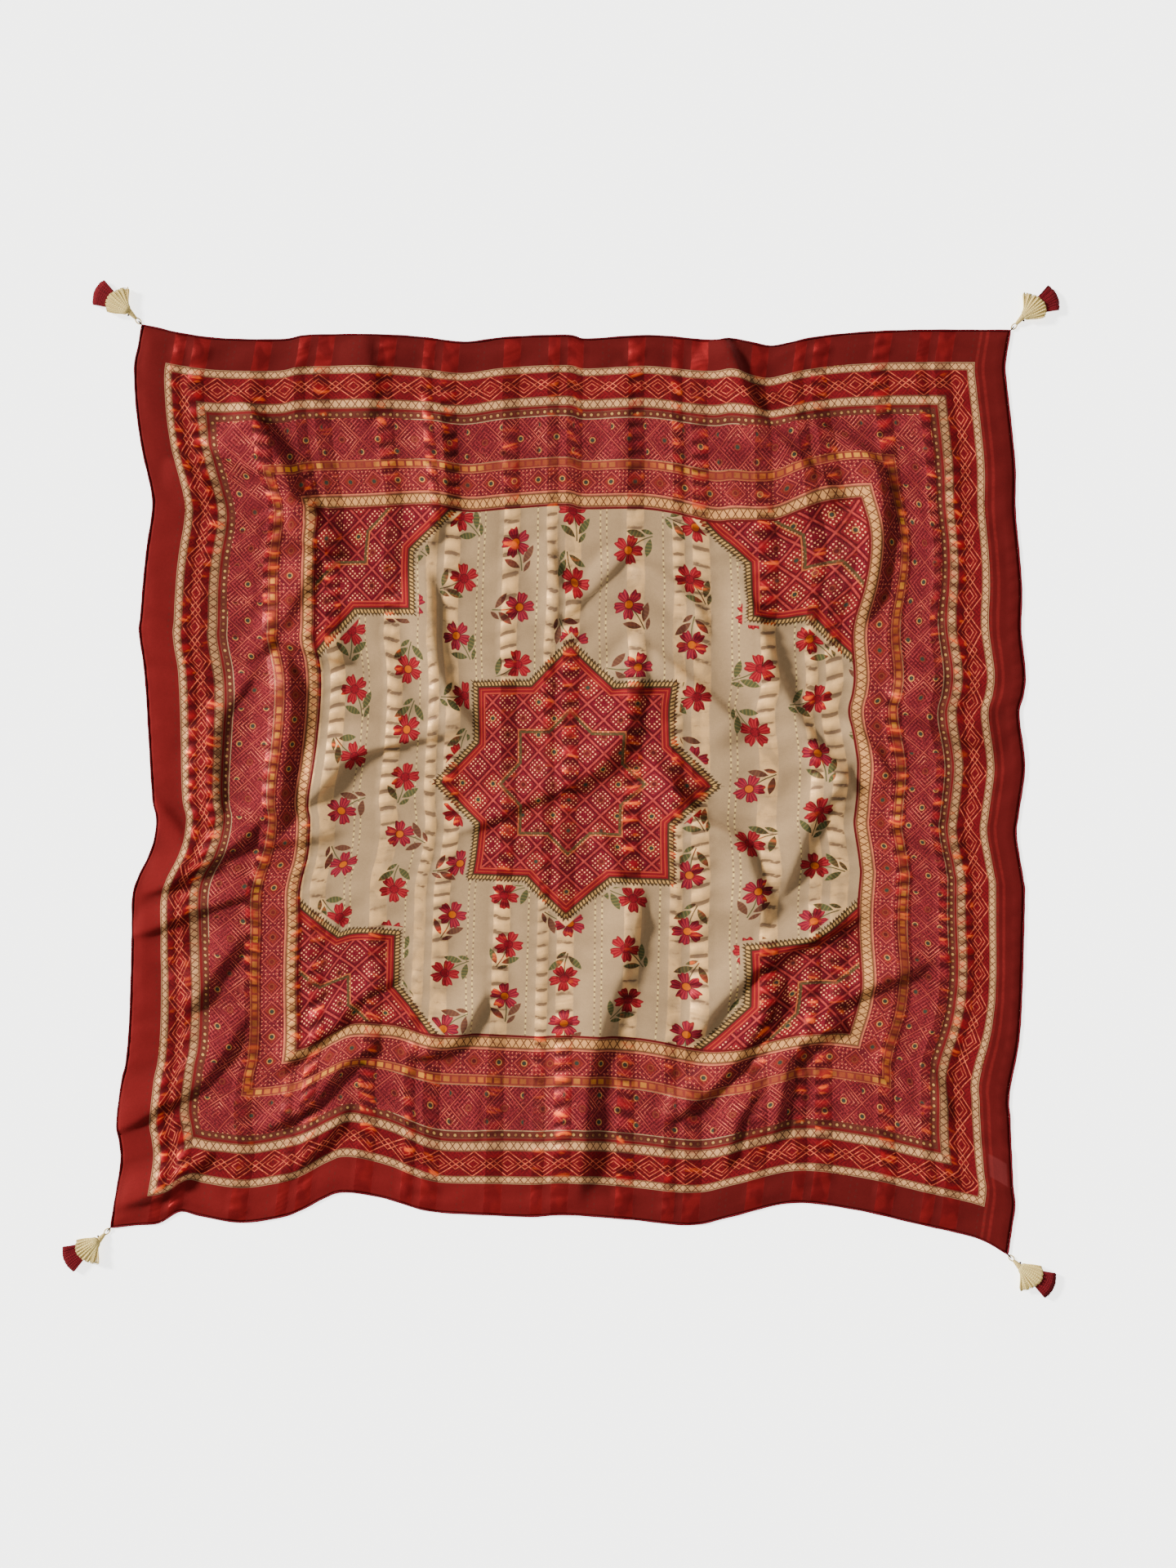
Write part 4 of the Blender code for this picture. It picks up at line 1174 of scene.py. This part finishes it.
def satin_share(cloth):
    """1 in the satin stripes, which end before the cloth's rolled sides."""
    place = cloth.stripe_place()
    share = 0.0
    for limits in SATIN:
        share = share + band(place, limits, 1.4)
    return share * below(cloth.u.size(), HALF - SATIN_END, 2.0)


def paint_satin(paint, cloth, satin, bare, hem, ripple, pucker):
    """The satin stripes: painted sheen in patches, painted highlights and glints on the puckers' crests and
    painted shade in their creases, duller where the cloth is printed.
    """
    printed = satin * (1 - bare) * (1 - hem)
    crest = pucker.most(0.0)
    # Patches where the painted sheen of the satin is stronger
    sheen_patch = above(cloth.grain("sheen_patch"), 0.48, 0.14)
    crease = below(pucker + (cloth.fine - 0.5) * 0.3, -0.22, 0.3)
    # Painted sheen on the field's satin stripes, stronger in patches, with painted highlights on the
    # puckers' crests
    paint = paint.over(satin * bare * (0.2 + 0.25 * sheen_patch + 0.35 * crest), GROUND_SATIN_SHEEN)
    paint = paint.over(satin * bare * crease * 0.8, CREASE_SHADE)
    # Painted sheen on the hem's satin stripes, stronger in patches
    paint = paint.over(satin * hem * (0.35 + 0.4 * sheen_patch), RED_HEM_SATIN_SHEEN)
    # Painted highlights on the puckers' crests where the satin is printed, and painted shade on the rest of
    # it
    paint = paint.over(printed * crest * (0.12 + 0.4 * sheen_patch), RED_CREST_HIGHLIGHT)
    paint = paint.shaded(1 + printed * (crest * 0.45 - 0.3))
    # Painted glints on the crests along the light crinkles
    glint = above(ripple, 0.45, 0.4) * printed * crest * sheen_patch
    paint = paint.over(glint * 0.55, SATIN_GLINT)
    shade = (below(ripple, -0.5, 0.4) * 0.5).most(crease) * printed
    return paint.over(shade * 0.55, SATIN_SHADE)


def cloth_material():
    """The printed cloth, with its satin stripes and dashed lines."""
    material, tree, shader = new_material("printed_cloth")
    cloth = FlatCloth(tree)
    paint, plain_field, sprigs = print_colors(cloth)
    bare = plain_field * (1 - sprigs)
    satin = satin_share(cloth)
    ripple = crinkle(cloth)
    hem = below(cloth.edge, HEM_END)
    for across in HEM_STREAKS:
        there = hem * band(cloth.u, across, 1.6)
        paint = paint.over(there * (cloth.fine * 0.5 + 0.25), RED_HEM_STREAK)
    label = band(cloth.u, LABEL_ACROSS, 2.0) * band(cloth.v, LABEL_UP, 2.0)
    paint = paint.over(label * LABEL_SHOWS, LABEL_THROUGH)
    pucker, hollow = layer_places(tree, "relief")
    paint = paint_satin(paint, cloth, satin, bare, hem, ripple, pucker)
    paint = paint_dashes(paint, cloth, bare)
    fibre = cloth.grain("fibre")
    mottle = 0.78 + fibre * 0.28 + cloth.fine * 0.16
    paint = paint.shaded(mottle * (1 - hollow * HOLLOW_SHADE))
    fill(tree, shader, {
        "Base Color": paint.value,
        "Roughness": 0.85 - 0.42 * satin,
        "Metallic": satin * (0.3 + 0.3 * hem),
        "Specular IOR Level": 0.1,
        "Specular Tint": (1.0, 0.6, 0.45, 1.0),
    })
    threads = (cloth.u * WEAVE).sine() * (cloth.v * WEAVE).sine()
    height = threads * 0.05 + ripple * satin * 0.3 + fibre * 0.25
    set_bump(tree, shader, height, 0.0006, 0.6)
    return material


def hem_material():
    """The rolled edge: dark red cloth with fine oversewn stitches, and painted highlights in patches where
    the roll catches the light.
    """
    material, tree, shader = new_material("rolled_hem")
    x, y = object_places(tree)
    thread = band(((x + y) / 0.0021).part(), (0.3, 0.62), 0.15)
    # Painted highlights in patches along the roll, where it catches the light
    lit_patches = cloud(tree, x, y, 40.0)
    paint = Paint(tree, ROLL_RED).over(thread * 0.5, ROLL_THREAD).over(lit_patches * 0.4, ROLL_LIT)
    fill(tree, shader, {"Base Color": paint.value, "Roughness": 0.8, "Specular IOR Level": 0.1})
    set_bump(tree, shader, thread, 0.0004)
    return material


def thread_material(name, color, deep, bright):
    """Twisted thread: a strand-by-strand change of colour with fine slanting plies, painted shade between
    the plies, and darker where each thread starts.
    """
    material, tree, shader = new_material(name)
    strand, run = layer_places(tree, "strand")
    number = strand * float(MOST_STRANDS)
    pick = chance(tree, number.floor(), strand * 0.0, 3.0)
    ply = band((run * 22.0 + number.part() * 2.0).part(), (0.25, 0.7), 0.2)
    # Strands of random brightness, then painted shade between the plies and a darker start to each thread
    paint = Paint(tree, color).over(pick * 0.5, bright).over((1 - ply) * 0.35, deep)
    paint = paint.over(below(run, 0.12, 0.2) * 0.35, deep)
    fill(tree, shader, {
        "Base Color": paint.value,
        "Roughness": 0.8,
        "Specular IOR Level": 0.08,
        "Sheen Weight": THREAD_SHEEN,
    })
    set_bump(tree, shader, ply, 0.0003)
    return material


def label_material():
    """The label's blank woven tape."""
    material, tree, shader = new_material("label_tape")
    x, y = object_places(tree)
    ribs = (x * 6000.0).sine() * (y * 4000.0).sine()
    soil = cloud(tree, x, y, 120.0, 3.0)
    paint = Paint(tree, TAPE).over(above(ribs, 0.2, 0.6) * 0.4, TAPE_RIB).over(soil * 0.3, TAPE_SOIL)
    fill(tree, shader, {"Base Color": paint.value, "Roughness": 0.85})
    set_bump(tree, shader, ribs, 0.0002)
    return material


def tube(path, radii, sides, closed, upright):
    """The points and faces of a round tube along a path, with no end caps."""
    path = np.array(path, float)
    if closed:
        tangents = np.roll(path, -1, axis=0) - np.roll(path, 1, axis=0)
    else:
        tangents = np.gradient(path, axis=0)
    tangents /= np.linalg.norm(tangents, axis=1)[:, None]
    level = np.cross(np.array(upright), tangents)
    level /= np.linalg.norm(level, axis=1)[:, None]
    upward = np.cross(tangents, level)
    points, faces = [], []
    for k in range(len(path)):
        for side in range(sides):
            angle = 2 * math.pi * side / sides
            aside = math.cos(angle) * level[k] + math.sin(angle) * upward[k]
            points.append(tuple(path[k] + radii[k] * aside))
    for k in range(len(path) if closed else len(path) - 1):
        onward = (k + 1) % len(path)
        for side in range(sides):
            after = (side + 1) % sides
            near = (k * sides + side, k * sides + after)
            far = (onward * sides + after, onward * sides + side)
            faces.append(near + far)
    return points, faces


def waves(v, seed, rows):
    """The waves of a table's rows, along a satin stripe."""
    return [reach * np.sin(v / length + share * seed) for reach, length, share in rows]


def puckers(u, v):
    """How high the puckers of the satin stripes stand above the plain cloth, from 0 to about 1.

    The second answer says where on a pucker a place is: 1 on its top and -1 in the crease beside it.
    """
    across = u + HALF - STRIPE_START
    place, repeat = np.mod(across, STRIPE_PERIOD), np.floor(across / STRIPE_PERIOD)
    rise, crest = np.zeros(u.shape), np.zeros(u.shape)
    for number, (start, end) in enumerate(SATIN):
        inside = smoothstep((place - start + PUCKER_EDGE) / (2 * PUCKER_EDGE))
        inside = inside * smoothstep((end - place + PUCKER_EDGE) / (2 * PUCKER_EDGE))
        seed = STRIPE_SHIFT * (3 * repeat + number)
        share = (place - start) / (end - start) - 0.5
        drift = sum(waves(v, seed, PUCKER_DRIFT))
        tilt, curl = waves(v, seed, PUCKER_SLANT)
        turn = math.pi * (v + drift + share * tilt + share**2 * curl) / PUCKER_LENGTH
        pillow = np.abs(np.sin(turn)) ** PUCKER_ROUND
        gathers = smoothstep(0.55 + 0.5 * sum(waves(v, seed, PUCKER_GATHERS)))
        strength = PUCKER_WEAKEST + (1 - PUCKER_WEAKEST) * gathers
        bow = 1 - PUCKER_BOW * (2 * share) ** 2
        rise += inside * (PUCKER_LEAST + (pillow - PUCKER_LEAST) * strength * bow)
        crest += inside * strength * (2 * pillow - 1)
    return rise, crest


def ripples(u, v):
    """The slight unevenness of cloth that was smoothed out by hand."""
    height = np.zeros(u.shape)
    for length, angle, share, start in RIPPLES:
        turn = math.radians(angle)
        ahead = u * math.cos(turn) + v * math.sin(turn)
        aside = v * math.cos(turn) - u * math.sin(turn)
        bend = RIPPLE_BEND * length * np.sin(aside / (RIPPLE_BEND_WAVE * length) + start)
        here = np.sin(aside / (RIPPLE_PATCH[0] * length) + 2 * start)
        here = here * np.sin(ahead / (RIPPLE_PATCH[1] * length))
        wave = 0.5 + 0.5 * np.sin(2 * math.pi * (ahead + bend) / length + start)
        height += share * smoothstep(0.5 + RIPPLE_PATCH[2] * here) * wave
    return height


def smoothed(height, times):
    """The heights averaged with their neighbours this many times."""
    for _ in range(times):
        wide = np.pad(height, 1, mode="edge")
        height = (wide[:-2, 1:-1] + wide[2:, 1:-1] + wide[1:-1, :-2] + wide[1:-1, 2:]) / 4
    return height


def relief_shares(height, crest):
    """Where on a pucker, and how deep in a fold, each place of the upper side is."""
    crest = np.clip(CREST_GAIN * crest, -1, 1)
    hollow = smoothed(height, HOLLOW_WIDE) - smoothed(height, HOLLOW_FINE)
    return np.stack([crest.ravel(), np.clip(hollow / HOLLOW_DEPTH, 0, 1).ravel()], axis=1)


def rim_keys():
    """The grid's outer places, in order round it."""
    columns, rows = CLOTH_COLUMNS, CLOTH_ROWS
    keys = [(i, 0) for i in range(columns)] + [(columns, j) for j in range(rows)]
    keys += [(i, rows) for i in range(columns, 0, -1)] + [(0, j) for j in range(rows, 0, -1)]
    return keys


def coarse_ring(i, j):
    """The corners of a coarse cell, with the fine ones between them where it lies on the rim."""
    step = UNDER_STEP
    ring = []
    sides = (
        (j == 0, i, j, 1, 0),
        (i + step == CLOTH_COLUMNS, i + step, j, 0, 1),
        (j + step == CLOTH_ROWS, i + step, j + step, -1, 0),
        (i == 0, i, j + step, 0, -1),
    )
    for on_rim, first, second, right, up in sides:
        for k in range(step if on_rim else 1):
            ring.append((first + right * k, second + up * k))
    return ring


def add_layer(mesh, name, places):
    """A UV layer with one place for each of the mesh's points."""
    corners = np.empty(len(mesh.loops), dtype=np.int32)
    mesh.loops.foreach_get("vertex_index", corners)
    layer = mesh.uv_layers.new(name=name)
    layer.data.foreach_set("uv", np.array(places, dtype=np.float32)[corners].ravel())


def make_cloth():
    """The cloth: a fine upper side with its puckers, closed over a plainer underside."""
    columns, rows = CLOTH_COLUMNS, CLOTH_ROWS
    u, v = np.meshgrid(np.linspace(-HALF, HALF, columns + 1), np.linspace(-HALF, HALF, rows + 1))
    laid = lay(u, v)
    inner = smoothstep((HALF - np.maximum(np.abs(u), np.abs(v))) / EDGE_FLAT)
    rise, crest = puckers(u, v)
    upper = laid.copy()
    upper[..., 2] *= FOLD_GAIN
    upper[..., 2] += TOP_RISE * (0.5 + 0.5 * inner) + (PUCKER_HEIGHT * rise + ripples(u, v)) * inner
    lower = laid.copy()
    lower[..., 2] = np.maximum(UNDER_GAIN * laid[..., 2] - UNDER_SINK, 0.0)
    points = [tuple(p) for p in upper.reshape(-1, 3) * MM]
    flat = [(a, b) for a, b in zip(u.ravel() / SIDE + 0.5, v.ravel() / SIDE + 0.5)]
    number = {(i, j): j * (columns + 1) + i for j in range(rows + 1) for i in range(columns + 1)}
    faces = []
    for j in range(rows):
        for i in range(columns):
            faces.append((number[i, j], number[i + 1, j], number[i + 1, j + 1], number[i, j + 1]))
    under = {key: number[key] for key in rim_keys()}
    for j in range(UNDER_STEP, rows, UNDER_STEP):
        for i in range(UNDER_STEP, columns, UNDER_STEP):
            under[i, j] = len(points)
            points.append(tuple(lower[j, i] * MM))
            flat.append((u[j, i] / SIDE + 0.5, v[j, i] / SIDE + 0.5))
    for j in range(0, rows, UNDER_STEP):
        for i in range(0, columns, UNDER_STEP):
            faces.append([under[key] for key in reversed(coarse_ring(i, j))])
    mesh = bpy.data.meshes.new("scarf_face")
    mesh.from_pydata(points, [], faces)
    relief = np.zeros((len(points), 2))
    relief[: rise.size] = relief_shares(upper[..., 2], crest)
    add_layer(mesh, "flat", flat)
    add_layer(mesh, "relief", relief)
    cloth = new_piece("scarf_face", mesh, cloth_material())
    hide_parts("scarf_cloth")
    return cloth, upper


def make_hem(upper):
    """The rolled hem, a thin roll of cloth along the whole edge."""
    path = np.array([upper[j, i] for i, j in rim_keys()]) * MM
    path[:, 2] = np.maximum(path[:, 2], (HEM_RADIUS + HEM_CLEARANCE) * MM)
    turn = np.arange(len(path))
    uneven = sum(share * np.sin(turn * pace) for share, pace in HEM_BUMPS)
    points, faces = tube(path, HEM_RADIUS * (1 + uneven) * MM, 7, True, (0.0, 0.0, 1.0))
    mesh = bpy.data.meshes.new("rolled_hem")
    mesh.from_pydata(points, [], faces)
    return new_piece("rolled_hem", mesh, hem_material())


# The tassels


class Layout:
    """Turns places along, across and above a tassel into places on the laid scarf."""

    def __init__(self, corner, head, side_x, side_y):
        self.corner = np.array(corner, float)
        self.head = np.array(head, float)
        self.axis = np.array((TASSEL_AXIS[0] * side_x, TASSEL_AXIS[1] * side_y))
        self.across = np.array((-TASSEL_AXIS[1] * side_x, TASSEL_AXIS[0] * side_y))
        self.way_length = float(np.linalg.norm(self.head - self.corner))
        self.way = (self.head - self.corner) / self.way_length

    def at(self, a, b, z):
        x, y = self.head + a * self.axis + b * self.across
        return (x * MM, y * MM, z * MM)

    def between(self, reach, b, z):
        """A place at a distance from the cloth's corner on the way to the head."""
        x, y = self.corner + reach * self.way + b * np.array((-self.way[1], self.way[0]))
        return (x * MM, y * MM, z * MM)


class Strands:
    """Many thin threads gathered into one mesh."""

    def __init__(self):
        self.points = []
        self.faces = []
        self.places = []
        self.count = 0

    def add(self, path, radii, sides=5, closed=False):
        """One thread along a path, with a radius for each of its points, capped where it isn't closed."""
        start = len(self.points)
        points, faces = tube(path, radii, sides, closed, NEARLY_UP)
        strand = (self.count + 0.5) / MOST_STRANDS
        rings = len(faces) // sides
        for number, face in enumerate(faces):
            k, side = divmod(number, sides)
            runs = (k / rings, k / rings, (k + 1) / rings, (k + 1) / rings)
            self.places.extend((strand + side / sides / SIDE_STEPS, run) for run in runs)
        if not closed:
            for k, order in ((0, range(sides - 1, -1, -1)), (rings, range(sides))):
                faces.append([k * sides + side for side in order])
                self.places.extend((strand, k / rings) for side in order)
        self.points.extend(points)
        self.faces.extend([start + n for n in face] for face in faces)
        self.count += 1

    def piece(self, name, material, slot, *replaced):
        mesh = bpy.data.meshes.new(name)
        mesh.from_pydata(self.points, [], self.faces)
        layer = mesh.uv_layers.new(name="strand")
        layer.data.foreach_set("uv", np.array(self.places, dtype=np.float32).ravel())
        piece = new_piece(name, mesh, material)
        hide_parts(*replaced)
        return piece


def make_tie(name, layout, material):
    """The dark cord, twisted from two threads, and the knot beside the head."""
    strands = Strands()
    path = smooth_curve([layout.between(reach, 0, height) for reach, height in CORD_PATH], 6)
    for turn in (0.0, math.pi):
        twisted = []
        for k, spot in enumerate(path):
            angle = CORD_TWIST * k + turn
            aside = np.array((math.cos(angle), math.sin(angle), math.sin(angle)))
            twisted.append(spot + CORD_APART * MM * aside)
        strands.add(twisted, [CORD_THREAD * MM] * len(twisted), 6)
    middle = np.array(layout.at(*KNOT_PLACE))
    for tilt in KNOT_TILTS:
        loop = []
        for k in range(KNOT_STEPS):
            angle = 2 * math.pi * k / KNOT_STEPS
            level = math.cos(angle)
            flat = np.array((level * math.cos(tilt), level * math.sin(tilt), math.sin(angle)))
            loop.append(middle + (KNOT_RADIUS - KNOT_THREAD) * MM * flat)
        strands.add(loop, [KNOT_THREAD * MM] * KNOT_STEPS, 6, closed=True)
    return strands.piece(name + "_tie", material, "dark_cord", name + "_cord", name + "_knot")


def make_loop(name, layout, material):
    """The cream eye and the neck with the thread whipped round it."""
    strands = Strands()
    loop = []
    for k in range(EYE_STEPS):
        angle = 2 * math.pi * k / EYE_STEPS
        reach = EYE_START + EYE_LENGTH / 2 * (1 - math.cos(angle))
        loop.append(layout.between(reach, EYE_WIDTH / 2 * math.sin(angle), EYE_HEIGHT))
    strands.add(loop, [(EYE_THREAD + EYE_BUMP * (k % 2)) * MM for k in range(EYE_STEPS)], 8, closed=True)
    start = EYE_START + EYE_LENGTH - NECK_INTO_EYE
    length = layout.way_length - start + NECK_INTO_HEAD
    shares, widths = zip(*NECK_RINGS)
    steps = NECK_TURNS * 4
    path, radii = [], []
    for k in range(steps + 1):
        share = k / steps
        radius = np.interp(share, shares, widths)
        sink = (1 - share) * (NECK_HEIGHT - radius - 0.2)
        path.append(layout.between(start + share * length, 0, NECK_HEIGHT - sink))
        radii.append((radius + NECK_BUMP * math.cos(2 * math.pi * k / 4)) * MM)
    strands.add(path, radii, 16)
    return strands.piece(name + "_loop", material, "cream_thread", name + "_eye", name + "_neck")


def make_cream(name, layout, material, chance_of):
    """The cream threads, which bulge from the neck and fall over and under the red ones."""
    strands = Strands()
    ends = smooth_curve(CREAM_ENDS, 8)
    shares = np.linspace(0, 1, len(ends))
    shoulder, middle_z, lowest = CREAM_SHOULDER, CREAM_MIDDLE, THREAD_LOWEST
    for threads, shoulder_z, end_z, reach, spread in CREAM_LAYERS:
        for k in range(threads):
            share = (k + chance_of.uniform(0.1, 0.9)) / threads
            lock = 2 * math.pi * CREAM_LOCKS * share
            gathered = share - LOCK_GATHER * math.sin(lock) / (2 * math.pi * CREAM_LOCKS)
            a = np.interp(gathered, shares, ends[:, 0]) * reach + chance_of.uniform(-0.9, 0.5)
            b = np.interp(gathered, shares, ends[:, 1]) * reach
            side = 2 * share - 1
            bow = math.sqrt(1 - (CREAM_FLATNESS * side) ** 2)
            lift = chance_of.uniform(-spread, spread) * 0.5
            high = middle_z + (shoulder_z - middle_z) * bow + lift
            low = max(lowest, middle_z + (end_z - middle_z) * bow + lift)
            ripple = LOCK_RISE * math.cos(lock) * (1 if end_z > middle_z else 0)
            across = CREAM_WIDTH * side
            path = [
                layout.at(0.3, 2.3 * side, middle_z + (high - middle_z) * 0.45),
                layout.at(2.2, 4.9 * side, middle_z + (high - middle_z) * 0.95),
                layout.at(shoulder, across + 0.4, high),
                layout.at(
                    shoulder + (a - shoulder) * 0.45,
                    across + (b - across) * 0.5,
                    max(lowest, high + 0.4 * ripple),
                ),
                layout.at(a - 1.6, b * 0.96, max(lowest, low + 0.5 + ripple)),
                layout.at(a, b, max(lowest - 0.1, low + ripple)),
            ]
            curve = smooth_curve(path, 2)
            taper = np.linspace(1.0, CREAM_TAPER, len(curve))
            strands.add(curve, CREAM_THREAD * MM * taper)
    return strands.piece(name + "_cream", material, "cream_thread", name + "_cream_tuft")


def make_red(name, layout, material, chance_of):
    """The red threads that fan out of the cream ones."""
    strands = Strands()
    for threads, bend_z, end_z in RED_LAYERS:
        for k in range(threads):
            side = 2 * (k + chance_of.uniform(0.1, 0.9)) / threads - 1
            b = RED_HALF_WIDTH * side
            a = RED_REACH - RED_CURVE * (b - RED_LEAD) ** 2 + chance_of.uniform(-0.9, 0.3)
            root_b = RED_ROOT * side
            lift = chance_of.uniform(-0.5, 0.5)
            sway = chance_of.uniform(-0.5, 0.5)
            middle_z = max(THREAD_LOWEST, (bend_z + end_z) / 2 + lift)
            path = [
                layout.at(8.0, root_b * 0.9, bend_z + lift),
                layout.at(14.0, root_b * 1.2, bend_z + lift),
                layout.at(26.0, root_b + (b - root_b) * 0.5 + sway, middle_z),
                layout.at(a, b, max(THREAD_LOWEST - 0.1, end_z + lift)),
            ]
            curve = smooth_curve(path, 3)
            strands.add(curve, [RED_THREAD * MM] * len(curve))
    return strands.piece(name + "_red", material, "red_thread", name + "_red_tuft")


def make_tassels():
    """The four tassels, each of a tie, a loop with its neck, and the cream and red threads."""
    cream, red, dark = [thread_material(key + "_thread", *colors) for key, colors in THREADS.items()]
    chance_of = random.Random(7)
    pieces = []
    for corner_name, *place in TASSELS:
        layout = Layout(*place)
        name = "tassel_" + corner_name
        pieces.append(make_tie(name, layout, dark))
        pieces.append(make_loop(name, layout, cream))
        pieces.append(make_cream(name, layout, cream, chance_of))
        pieces.append(make_red(name, layout, red, chance_of))
    return pieces


# The picture


def add_object(name, data):
    made = bpy.data.objects.new(name, data)
    bpy.context.scene.collection.objects.link(made)
    return made


def make_camera():
    """A camera that looks straight down on the whole scarf."""
    data = bpy.data.cameras.new("camera")
    camera = add_object("camera", data)
    camera.location = (*VIEW_MIDDLE, VIEW_HEIGHT)
    data.sensor_width = SENSOR
    data.lens = SENSOR * VIEW_HEIGHT / VIEW_TALL
    data.clip_start = 0.05
    bpy.context.scene.camera = camera


def make_floor():
    """The plain pale floor."""
    mesh = bpy.data.meshes.new("floor")
    corners = [(-1, -1), (1, -1), (1, 1), (-1, 1)]
    points = [(x * FLOOR_HALF, y * FLOOR_HALF, FLOOR_LEVEL) for x, y in corners]
    mesh.from_pydata(points, [], [(0, 1, 2, 3)])
    floor = add_object("floor", mesh)
    material, tree, shader = new_material("floor")
    dust = cloud(tree, *object_places(tree), 3.0)
    paint = Paint(tree, FLOOR_COLOR).over(dust * 0.06, FLOOR_DUST)
    fill(tree, shader, {
        "Base Color": paint.value,
        "Roughness": 0.9,
        "Specular IOR Level": 0.1,
        "Emission Color": paint.value,
        "Emission Strength": FLOOR_GLOW,
    })
    floor.data.materials.append(material)


def make_lights():
    """A soft sun and an even white surround."""
    world = bpy.data.worlds.new("studio")
    bpy.context.scene.world = world
    world.use_nodes = True
    background = world.node_tree.nodes["Background"]
    background.inputs["Color"].default_value = (1.0, 1.0, 1.0, 1.0)
    background.inputs["Strength"].default_value = WORLD_LIGHT
    sun = bpy.data.lights.new("key", "SUN")
    sun.energy = SUN_POWER
    sun.angle = math.radians(SUN_WIDTH)
    lamp = add_object("key", sun)
    up, turn = math.radians(SUN_ELEVATION), math.radians(SUN_SIDE)
    towards = Vector((math.cos(up) * math.cos(turn), math.cos(up) * math.sin(turn), math.sin(up)))
    lamp.rotation_euler = towards.to_track_quat("Z", "Y").to_euler()


def new_piece(name, mesh, material):
    """A smooth piece of the visual model on the scarf's one body."""
    mesh.materials.append(material)
    mesh.shade_smooth()
    piece = add_object(name, mesh)
    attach(piece, "root")
    return piece


def dress_label():
    """Gives the label's own solid its woven look."""
    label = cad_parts["care_label"]
    label.data.materials.clear()
    label.data.materials.append(label_material())
    return label


def main():
    make_camera()
    make_floor()
    make_lights()
    cloth, upper = make_cloth()
    hem = make_hem(upper)
    label = dress_label()
    tassels = make_tassels()


main()
